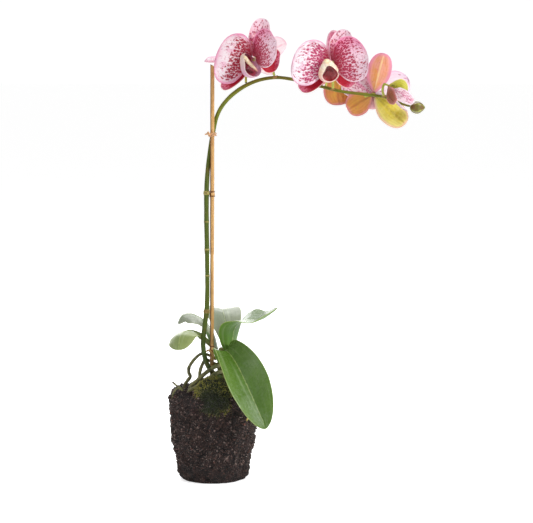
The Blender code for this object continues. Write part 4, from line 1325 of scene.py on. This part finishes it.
@dataclass
class Tie:
    """Raffia wound round cane and spike, knotted at the left with a short tail."""

    height: float = 450.0
    middle: tuple[float, float] = (0.25, 2.2)
    reach: tuple[float, float] = (4.7, 7.6)

    def build(self) -> None:
        """Make three turns, a knot and a tail as one piece."""
        turns = np.linspace(0, TURN, 61)
        skins = []
        for level, tilt in ((-1.9, 0.12), (-0.3, -0.1), (1.3, 0.06)):
            x = self.middle[0] + self.reach[0] * np.sin(turns)
            y = self.middle[1] + self.reach[1] * np.cos(turns)
            z = self.height + level + tilt * (x - self.middle[0]) + 0.3 * np.sin(3 * turns)
            skins.append(tube(np.stack([x, y, z, np.full(61, 0.95)], axis=1), 10, 0.8))
        knot = ((-2.4, -4.9, 448.6, 1.2), (-4.4, -5.6, 450.8, 1.8), (-5.4, -5.2, 452.6, 1.6),
                (-4.8, -4.0, 450.6, 1.6), (-3.6, -4.8, 448.0, 1.4))
        tail = ((-4.0, -4.9, 450.4, 1.2), (-6.0, -5.2, 450.9, 1.1), (-7.8, -5.0, 450.5, 1.0),
                (-9.4, -4.7, 449.6, 0.6))
        skins += [tube(smooth_through(rows, np.linspace(0, 1, 24)), 10, 0.7)
                  for rows in (knot, tail)]
        joined(skins).put("raffia_knot", [RAFFIA], "raffia", ("raffia_tie",))


SPIKE_PATH: Rows = (
    (11, -4, 133, 2.9), (2.5, -11, 139, 3.1), (-4.5, -13, 147, 3.2), (-10, -12, 160, 3.2),
    (-12.4, -10, 178, 3.2), (-10.6, -8, 200, 3.2), (-8, -6, 220, 3.2), (-6.9, -4.5, 250, 3.1),
    (-7.2, -3, 300, 3.1), (-7.7, -2.5, 337, 3.1), (-7.6, -1.5, 374, 3.1), (-6.2, 1.5, 402, 3.0),
    (-2.6, 4.8, 432, 2.9), (0.4, 5.4, 450, 2.8), (5.2, 5.2, 471, 2.7), (12.8, 4, 486.5, 2.6),
    (25.5, 2.5, 500.5, 2.5), (42, 1, 512, 2.3), (60, 0.5, 519.5, 2.15), (81, 0, 523, 2.0),
    (100, 0, 521.3, 1.95), (119, 0, 517, 1.9), (139, 0, 511.8, 1.8), (167, -0.5, 505.2, 1.7),
    (203, -2, 500.8, 1.6), (224, -3, 497.6, 1.5), (241, -4, 490.6, 1.3), (250, -4, 487.4, 1.1),
    (254.5, -4, 486.4, 1.0),
)


@dataclass
class Spike:
    """Flower spike with ringed joints, dry bracts and the closed bud at its end."""

    joints: tuple[tuple[float, float], ...] = ((220.0, 1.0), (267.0, 0.3), (301.0, 0.4),
                                               (337.0, 0.35), (374.0, 1.0))
    bud_centre: Point = (264.0, -4.0, 484.6)
    bud_radii: Point = (9.5, 8.0, 8.2)

    def stem(self) -> None:
        """Make the stem as a tube that swells at its joints."""
        rows = smooth_through(SPIKE_PATH, np.linspace(0, 1, 520))
        for joint, strength in self.joints:
            swell = 0.7 * strength * np.exp(-(((rows[:, 2] - joint) / 2.6) ** 2))
            rows[:, 3] += swell * (rows[:, 0] < 0.0)
        rows[:, 3] += (0.1 * lattice_noise(rows[:, :3], 9.0, 80)
                       + 0.25 * np.clip((rows[:, 0] - 5.0) / 30.0, 0, 1))
        tube(rows, 24).put("spike_stem", [SPIKE_SKIN], "stem", ("flower_spike",))

    def bracts(self) -> None:
        """Make a sheath at each joint and a small one under each flower stalk."""
        rows = smooth_through(SPIKE_PATH, np.linspace(0, 1, 520))
        skins = []
        for joint, strength in self.joints:
            near = rows[np.abs(rows[:, 2] - joint).argmin()]
            profile = ((-2.4, -0.75), (-1.6, 0.1), (0.0, 0.25), (2.2, 0.05), (3.2, -0.7))
            ring = np.array([(*near[:2], joint + up * strength, near[3] + (0.75 + out) * strength)
                             for up, out in profile])
            skins.append(tube(smooth_through(ring, np.linspace(0, 1, 14)), 24))
        joined(skins).put("joint_rings", [JOINT], "stem", ())
        for number, (x, turn) in enumerate((
                (42, 1), (80, -1), (146, 1), (155, -1), (197, 1), (220, -1))):
            foot = rows[160 + np.abs(rows[160:, 0] - x).argmin()]
            ahead = unit(rows[160 + np.abs(rows[160:, 0] - x - 3).argmin()][:3] - foot[:3])
            up = np.array([-ahead[2], 0.0, ahead[0]])
            side = np.array([0.0, float(turn), 0.0])
            out = foot[:3] + side * (foot[3] + 0.2)
            spine = tuple(tuple(out + ahead * a + side * b + up * c) for a, b, c in (
                (-3.0, -0.3, -0.6), (-0.5, 0.5, 0.2), (2.0, 1.3, 1.2), (4.2, 2.2, 2.6)))
            blade = Blade(spine, 1.9, (tuple(up), tuple(up)), 0.8, 0.35, 1.0, 1.4, (0.9, 0.5),
                          wall=0.45, frill=0.1, groove=0.05, along=14, across=12)
            blade.skin().put(f"stalk_bract_{number + 1}", [BRACT], "stem", ())

    def bud(self) -> None:
        """Make the bud: an ellipsoid with five flats between ribs and a drawn-out nose."""
        lift, turn = np.meshgrid(np.linspace(0.03, math.pi - 0.03, 60),
                                 np.linspace(0, TURN, 72, endpoint=False), indexing="ij")
        nose = np.cos(lift)
        facet = math.cos(math.pi / 5) / np.cos((turn % (0.4 * math.pi)) - math.pi / 5)
        taper = 1.0 - 0.35 * np.clip(nose, 0, 1) ** 2
        taper = taper * (1.0 + 1.1 * (facet - 0.93) * np.sin(lift) ** 0.5)
        ahead = (nose + 0.05 * np.clip(nose, 0, 1) ** 6) * self.bud_radii[0]
        across = np.sin(lift) * np.cos(turn) * taper * self.bud_radii[1]
        up = np.sin(lift) * np.sin(turn) * taper * self.bud_radii[2]
        grid = np.stack([ahead, across, up], axis=-1) + np.array(self.bud_centre)
        uv = np.stack([1.0 - lift / math.pi, turn / TURN], axis=-1).reshape(-1, 2)
        skin = capped(grid, np.vstack([uv, [(1, 0), (0, 0)]]))
        skin.put("bud_scales", [BUD_SKIN], "bud", ("end_bud",))

    def build(self) -> None:
        """Make stem, bracts and bud."""
        self.stem()
        self.bracts()
        self.bud()


# ---------------------------------------------------------------- flowers


@dataclass(frozen=True)
class Tepal:
    """Sepal or petal: its tip from the flower's middle, half width, sideways line, finishes."""

    tip: Point
    half_width: float
    side: Point | None = None
    front: Finish = FINE_PETAL
    back: Finish = BACK_PALE


@dataclass
class Flower:
    """Moth orchid flower: three sepals, two petals, a cupped lip and the column, on a stalk."""

    name: str
    centre: Point
    heading: float
    pitch: float
    stalk: Rows
    tepals: dict[str, Tepal]
    size: float = 1.0
    bow: float = 0.8
    lip_size: float = 1.0
    lip_roll: float = 0.0
    lip_turn: float = 0.0
    lip_lift: float = -10.0
    lip_swing: float = 1.5
    lip_depth: float = 6.2
    lip_shift: Point = (0.0, -4.0, 3.0)
    lip_outside: Finish = LIP_OUTSIDE
    lip_inside: Finish = LIP_INSIDE
    horn: Rows = ((0, 1, 0, 2.4), (0, 3.6, 4, 2.5), (0, 5.6, 8, 2.9), (0, 6, 11, 3),
                  (0, 5, 13.4, 2.5), (0, 3.8, 14.6, 1.2))
    seed: int = 1

    def axes(self) -> tuple[np.ndarray, np.ndarray, np.ndarray]:
        """Across, up and face directions."""
        h, p = math.radians(self.heading), math.radians(self.pitch)
        face = np.array([math.sin(h) * math.cos(p), -math.cos(h) * math.cos(p), math.sin(p)])
        across = np.array([math.cos(h), math.sin(h), 0.0])
        return across, np.cross(face, across), face

    def tepal(self, part: str, shape: Tepal, number: int) -> None:
        """Make one sepal or petal on the spine foot to tip, bowed by 4 b (s - s^2).

        Args:
            part: its name in the flower.
            shape: its tip, width and finishes.
            number: its place in the flower, which picks its frill.
        """
        face, centre, reach = self.axes()[2], np.array(self.centre), np.array(shape.tip, float)
        petal = part.endswith("petal")
        out = unit(reach - face * (reach @ face))
        foot = (centre + face * (1.2 if petal else -1.8) * self.size
                + out * 3.3 * max(self.size, 0.85))
        end = centre + reach
        along = unit(end - foot)
        line = np.array(shape.side) if shape.side else np.cross(face, along)
        line = unit(line - along * (line @ along))
        normal = np.cross(along, line)
        turned = normal @ face > 0.0
        normal = normal if turned else -normal
        share = np.linspace(0, 1, 5)[:, None]
        spine = foot + (end - foot) * share + normal * self.bow * 4.0 * (share - share**2)
        start, peak, early = (3.6, 0.56, 0.62) if petal else (2.7, 0.52, 1.0)
        if self.size < 1.0:
            start, early = 1.9, 1.5 if petal else 0.95
        skew = PETAL_SKEW if petal and line[2] > 0.0 else 0.0
        span = -TEPAL_SPAN if turned else TEPAL_SPAN
        blade = Blade(tuple(map(tuple, spine)), shape.half_width, (tuple(line), tuple(line)),
                      start * self.size / shape.half_width, peak, early, 2.3, (span, span), skew,
                      wall=0.7, rim=0.4, groove=0.35, frill=2.3 if petal else 1.1,
                      fold=0.0 if petal else 0.08, seed=self.seed * 10 + number)
        skin = blade.skin()
        normal_out = self._front_sign(skin, face)
        finishes = [shape.front, shape.back] if normal_out else [shape.back, shape.front]
        slot, node = "petal" if petal else "sepal", f"{self.name}_{part}"
        skin.put(node + "_blade", finishes, slot, (node,))

    @staticmethod
    def _front_sign(skin: Skin, face: np.ndarray) -> bool:
        """Whether the first side of a shell looks the way the flower does."""
        quads = np.array([f for f, b in zip(skin.faces, skin.backs) if b == 0 and len(f) == 4])
        a, b, c = (skin.corners[quads[:, k]] for k in range(3))
        return float(np.sum(np.cross(b - a, c - a) @ face)) > 0.0

    def lip(self) -> None:
        """Make the lip: a bowl r = sin f, z = 1 - cos f with f = s swing, on an egg-shaped rim."""
        across, up, face = self.axes()
        turn, lift, roll = (math.radians(a) for a in (self.lip_turn, self.lip_lift, self.lip_roll))
        axis = unit(face * math.cos(turn) * math.cos(lift) + across * math.sin(turn)
                    + up * math.sin(lift))
        side = unit(np.cross(up * math.cos(roll) - across * math.sin(roll), axis))
        top = np.cross(axis, side)
        rings, around = 44, 96
        s, a = np.meshgrid(np.linspace(0.02, 1, rings),
                           np.linspace(0, TURN, around, endpoint=False), indexing="ij")
        swing = s * math.pi / 2 * (self.lip_swing + 0.14 * np.cos(a) - 0.10 * np.sin(a))
        r = np.sin(swing)
        x = LIP_HALF_WIDTH * np.sin(a) * (1.0 - 0.20 * np.cos(a)) * r
        y = (LIP_HALF_HEIGHT * np.cos(a) + LIP_POINT * np.clip(np.cos(a), 0, 1) ** 6) * r
        depth = self.lip_depth + 1.2 * np.clip(-np.cos(a), 0, 1) ** 2
        z = depth * (1.0 - np.cos(swing)) + 0.35 * s**3 * np.sin(5 * a + 0.7)
        x = x + 0.4 * s**4 * np.sin(4 * a)
        scale = self.lip_size
        shift = across * self.lip_shift[0] + up * self.lip_shift[1] + face * self.lip_shift[2]
        middle = np.array(self.centre) + shift + scale * (
            side * x[..., None] + top * y[..., None] + axis * z[..., None])
        along_ring = np.roll(middle, -1, 1) - np.roll(middle, 1, 1)
        inward = unit(np.cross(np.gradient(middle, axis=0), along_ring))
        inward = inward * np.sign(np.sum(inward[0] @ axis))
        edge = (1.0 - s) * LIP_REACH * scale
        half = (LIP_HALF_WALL * (0.35 + 0.65 * (1.0 - np.exp(-edge / 1.5))))[..., None]
        grid = np.concatenate([middle - inward * half, (middle + inward * half)[::-1]])

        def both(field: np.ndarray, pole: float) -> np.ndarray:
            """A field of the bowl for its outer side, its inner side and the two poles."""
            return np.concatenate([field.ravel(), field[::-1].ravel(), [pole, pole]])

        skin = capped(grid, np.stack([both(s, 0.0), both((1.0 - np.cos(a)) / 4.0, 0.25)], axis=1))
        skin.edge = both(edge, LIP_REACH)
        outer = np.repeat(np.arange(2 * rings - 1), around) < rings - 1
        skin.backs = np.concatenate([outer, np.ones(around), np.zeros(around)]).astype(int)
        finishes = [self.lip_inside, self.lip_outside]
        skin.put(f"{self.name}_lip_cup", finishes, "lip", (f"{self.name}_lip",))

    def column(self) -> None:
        """Make the stalk behind the flower and the arched column in front of it."""
        across, up, face = self.axes()
        centre = np.array(self.centre)
        rows = [(*point, STALK_RADIUS) for point in self.stalk]
        for ahead, radius in ((-6.5, 1.6), (-2.0, 2.1), (1.0, 2.2)):
            rows.append((*(centre + face * ahead * self.size), max(1.35, radius * self.size)))
        stalk = tube(smooth_through(tuple(rows), np.linspace(0, 1, 60)), 18)
        stalk.put(f"{self.name}_stalk", [PEDICEL], "stalk", (f"{self.name}_column",))
        horn = tuple((*(centre + (across * x + up * y + face * z) * self.size), radius * self.size)
                     for x, y, z, radius in self.horn)
        skin = tube(smooth_through(horn, np.linspace(0, 1, 36)), 22, 1.15)
        skin.put(f"{self.name}_column_horn", [COLUMN], "stalk", ())

    def build(self) -> None:
        """Make every part."""
        for number, (part, shape) in enumerate(self.tepals.items()):
            self.tepal(part, shape, number)
        self.lip()
        self.column()


PARTS = ("upper_sepal", "left_sepal", "right_sepal", "left_petal", "right_petal")


def tepals(*shapes: Tepal) -> dict[str, Tepal]:
    """The five tepals by name, in the order of PARTS."""
    return dict(zip(PARTS, shapes))


FLOWERS = (
    Flower("flower_1", (43.5, 28, 541), 180, 50, ((43.5, 2, 516.6), (43.5, 8, 526)), tepals(
        Tepal((4, -26, 29), 14, None, UPPER_SEPAL, BACK_PALE),
        Tepal((-30, 24, -22), 15, None, LOWER_SEPAL, BACK_PALE),
        Tepal((36, 29, -13), 9.5, None, LOWER_SEPAL, BACK_PALE),
        Tepal((-54, -4, 2), 20, (0, 0.98, 0.17), FINE_PETAL, BACK_ROSE),
        Tepal((52, 0, 27), 22, None, FINE_PETAL, BACK_PALE)), lip_size=0.8, seed=1),
    Flower("flower_2", (54, -26, 546), -14, -12,
           ((80, -0.5, 526), (77.5, -4, 532), (68, -12, 541)), tepals(
        Tepal((12, 8, 52), 13.5, None, UPPER_SEPAL, BACK_ROSE),
        Tepal((-41, 13, -37), 9.5, None, LOWER_SEPAL, BACK_ROSE),
        Tepal((33, 12, 0), 17, None, LOWER_SEPAL, BACK_ROSE),
        Tepal((-48, -8, 4), 34, (0.20, -0.2, 0.96), WHITE_PETAL, BACK_LILAC),
        Tepal((28, -32, 23), 29, (0.26, -0.05, 0.96), FLUSHED_PETAL, BACK_LILAC)),
        lip_size=1.12, lip_roll=20.0, lip_turn=48.0, lip_lift=36.0, lip_swing=1.15, lip_depth=9.5,
        lip_shift=(-9.0, -12.5, 6.0), lip_outside=LIP_MAUVE, lip_inside=LIP_WALL,
        horn=((4, -14, 5, 1.5), (2, -9, 9, 1.8), (-1, -4, 13, 2.2), (-4.5, 1, 15, 2.5),
              (-7.6, 5.4, 15, 2.4), (-9.2, 7.4, 14.4, 1.2)), seed=2),
    Flower("flower_3", (153, -27, 541), -14, -8,
           ((155.5, -3, 509.5), (155, -9, 519), (154, -15, 531)), tepals(
        Tepal((19, 8, 42), 13.5, None, UPPER_SEPAL, BACK_ROSE),
        Tepal((-40, 10, -34), 13, None, LOWER_SEPAL, BACK_ROSE),
        Tepal((28, 12, -28), 11.5, None, LOWER_SEPAL, BACK_ROSE),
        Tepal((-50, -6, 3), 30.5, (0.1, -0.15, 0.98), FINE_PETAL, BACK_LILAC),
        Tepal((45, -22, 8), 30.5, (0.24, 0, 0.97), FLUSHED_PETAL, BACK_LILAC)),
        lip_turn=16.0, lip_lift=-8.0, lip_roll=8.0, lip_swing=1.5, lip_depth=6.4,
        lip_shift=(-4.4, -8.4, 2.5),
        horn=((1, -2, 3, 2.2), (0, 0.5, 8, 2.4), (-2, 3, 12, 2.8), (-3.6, 5, 15, 2.8),
              (-4.8, 5.6, 17, 2.2), (-5.4, 5.6, 18, 1.0)), seed=3),
    Flower("flower_4", (160, 29, 531), 172, 4,
           ((146, 1.8, 511.5), (148, 8, 517), (154, 14, 525)), tepals(
        Tepal((-3, 1, 53), 11, None, UPPER_SEPAL, BACK_ROSE),
        Tepal((-41, 2, -12), 13, None, LOWER_SEPAL, BACK_OCHRE),
        Tepal((5, -4, -44), 20, None, LOWER_SEPAL, BACK_OCHRE),
        Tepal((-42, 12, 16), 25, None, FINE_PETAL, BACK_LILAC),
        Tepal((36, 14, 10), 25, None, FINE_PETAL, BACK_SPOTTED)), seed=4),
    Flower("flower_5", (208, 13, 501), 184, -4,
           ((197, 0, 499), (199.5, 3.5, 499.5), (203, 6, 500.5)), tepals(
        Tepal((14, -1, 53), 16, None, UPPER_SEPAL, BACK_PEACH),
        Tepal((-33, -3, -20), 16, None, LOWER_SEPAL, BACK_OCHRE),
        Tepal((42, -4, -38), 17.5, None, LOWER_SEPAL, BACK_LIME),
        Tepal((-34, 12, 24), 21, None, FINE_PETAL, BACK_SPOTTED),
        Tepal((48, 13, 16), 22, None, FINE_PETAL, BACK_LILAC)), seed=5),
    Flower("flower_6", (227.5, -13, 512), 92, -28,
           ((220.5, -5.5, 500), (219, -8, 507), (220.5, -11, 514)), tepals(
        Tepal((22, -5, -7), 13.0, (0.12, -0.2, -0.96), UPPER_SEPAL, BACK_GREEN),
        Tepal((6, -19, -21), 10.5, None, LOWER_SEPAL, BACK_MAROON),
        Tepal((24, 1, -33), 7, None, LOWER_SEPAL, BACK_SPOTTED),
        Tepal((30, -16, -21), 8.5, (-0.1, -0.35, -0.9), FINE_PETAL, BACK_SPOTTED),
        Tepal((25, 14, -10), 8, (0.1, 0.45, 0.85), FINE_PETAL, BACK_SPOTTED)),
        size=0.62, bow=-4.5, lip_size=0.42, seed=6),
)


# ---------------------------------------------------------------- studio


@dataclass(frozen=True)
class Lamp:
    """Square lamp: where it stands in metres, its watts and its side."""

    name: str
    place: Point
    power: float
    side: float

    def build(self, target: Vector) -> None:
        """Add the lamp, looking at the target."""
        data = bpy.data.lights.new(self.name, "AREA")
        data.energy, data.size = self.power, self.side
        made = bpy.data.objects.new(self.name, data)
        made.location = Vector(self.place)
        made.rotation_euler = (target - made.location).to_track_quat("-Z", "Y").to_euler()
        bpy.context.scene.collection.objects.link(made)


LAMPS = (
    Lamp("key", (2.1, -1.3, 1.4), 50.0, 0.8),
    Lamp("fill", (-1.7, -2.0, 1.1), 15.0, 1.2),
    Lamp("top", (-0.4, 1.1, 2.3), 30.0, 1.4),
    Lamp("rear", (-0.2, 2.7, 0.9), 60.0, 2.4),
)


@dataclass
class Studio:
    """Pale floor, soft lamps, even sky and the camera."""

    target: Point = (70.0, 0.0, 285.0)
    distance: float = 2400.0
    elevation: float = 6.0
    lens: float = 124.7
    sensor: float = 36.0
    sky: float = 0.40
    sky_seen: float = 1.02
    floor_level: float = -0.0005
    floor_glow: float = 0.62
    floor_spread: tuple[float, float, float] = (40.0, -8.0, 60.0)

    def floor(self) -> None:
        """Add the floor: a wide flat sheet just under the foot that glows for the camera alone."""
        side, front, rear = self.floor_spread
        plan = ((-side, front), (side, front), (side, rear), (-side, rear))
        mesh = bpy.data.meshes.new("studio_floor")
        mesh.from_pydata([(x, y, self.floor_level) for x, y in plan], [], [(0, 1, 2, 3)])
        pale = bpy.data.materials.new("floor_pale")
        pale.use_nodes = True
        shader = pale.node_tree.nodes["Principled BSDF"]
        for socket, value in (("Base Color", (0.93, 0.93, 0.93, 1.0)), ("Roughness", 0.9),
                              ("Specular IOR Level", 0.1),
                              ("Emission Color", (1.0, 1.0, 1.0, 1.0))):
            shader.inputs[socket].default_value = value
        graph = Graph(pale.node_tree)
        seen = graph.add("ShaderNodeLightPath").outputs["Is Camera Ray"]
        glow = graph.times(seen, self.floor_glow)
        pale.node_tree.links.new(glow, shader.inputs["Emission Strength"])
        mesh.materials.append(pale)
        made = bpy.data.objects.new("studio_floor", mesh)
        bpy.context.scene.collection.objects.link(made)

    def world(self) -> None:
        """Add an even white sky that the camera sees brighter than the plant does."""
        world = bpy.data.worlds.new("studio_sky")
        world.use_nodes = True
        graph = Graph(world.node_tree)
        seen = graph.add("ShaderNodeLightPath").outputs["Is Camera Ray"]
        power = graph.add("ShaderNodeMapRange", {0: seen, 3: self.sky, 4: self.sky_seen}).outputs[0]
        sky = world.node_tree.nodes["Background"]
        sky.inputs[0].default_value = (1.0, 1.0, 1.0, 1.0)
        world.node_tree.links.new(power, sky.inputs[1])
        bpy.context.scene.world = world

    def camera(self, target: Vector) -> None:
        """Add the camera in front of the target, a little above it."""
        data = bpy.data.cameras.new("camera")
        data.lens, data.sensor_width = self.lens, self.sensor
        data.clip_start, data.clip_end = 0.05, 60.0
        made = bpy.data.objects.new("camera", data)
        lift = math.radians(self.elevation)
        made.location = target + Vector((0.0, -math.cos(lift), math.sin(lift))) * self.distance * MM
        made.rotation_euler = (target - made.location).to_track_quat("-Z", "Y").to_euler()
        bpy.context.scene.collection.objects.link(made)
        bpy.context.scene.camera = made

    def build(self) -> None:
        """Make floor, sky, lamps and camera."""
        target = Vector(self.target) * MM
        self.floor()
        self.world()
        for lamp in LAMPS:
            lamp.build(target)
        bpy.context.scene.view_settings.view_transform = "Standard"
        bpy.context.scene.view_settings.look = "None"
        self.camera(target)


def main() -> None:
    """Build every piece from the ball up, then the studio."""
    logging.basicConfig(level=logging.INFO, format="%(name)s: %(message)s")
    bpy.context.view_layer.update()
    for part in (RootBall(), Moss(), Roots(), Crown(), Foliage(), Cane(), Tie(), Spike(),
                 *FLOWERS, Studio()):
        log.info("building %s", type(part).__name__)
        part.build()


if __name__ == "__main__":
    main()
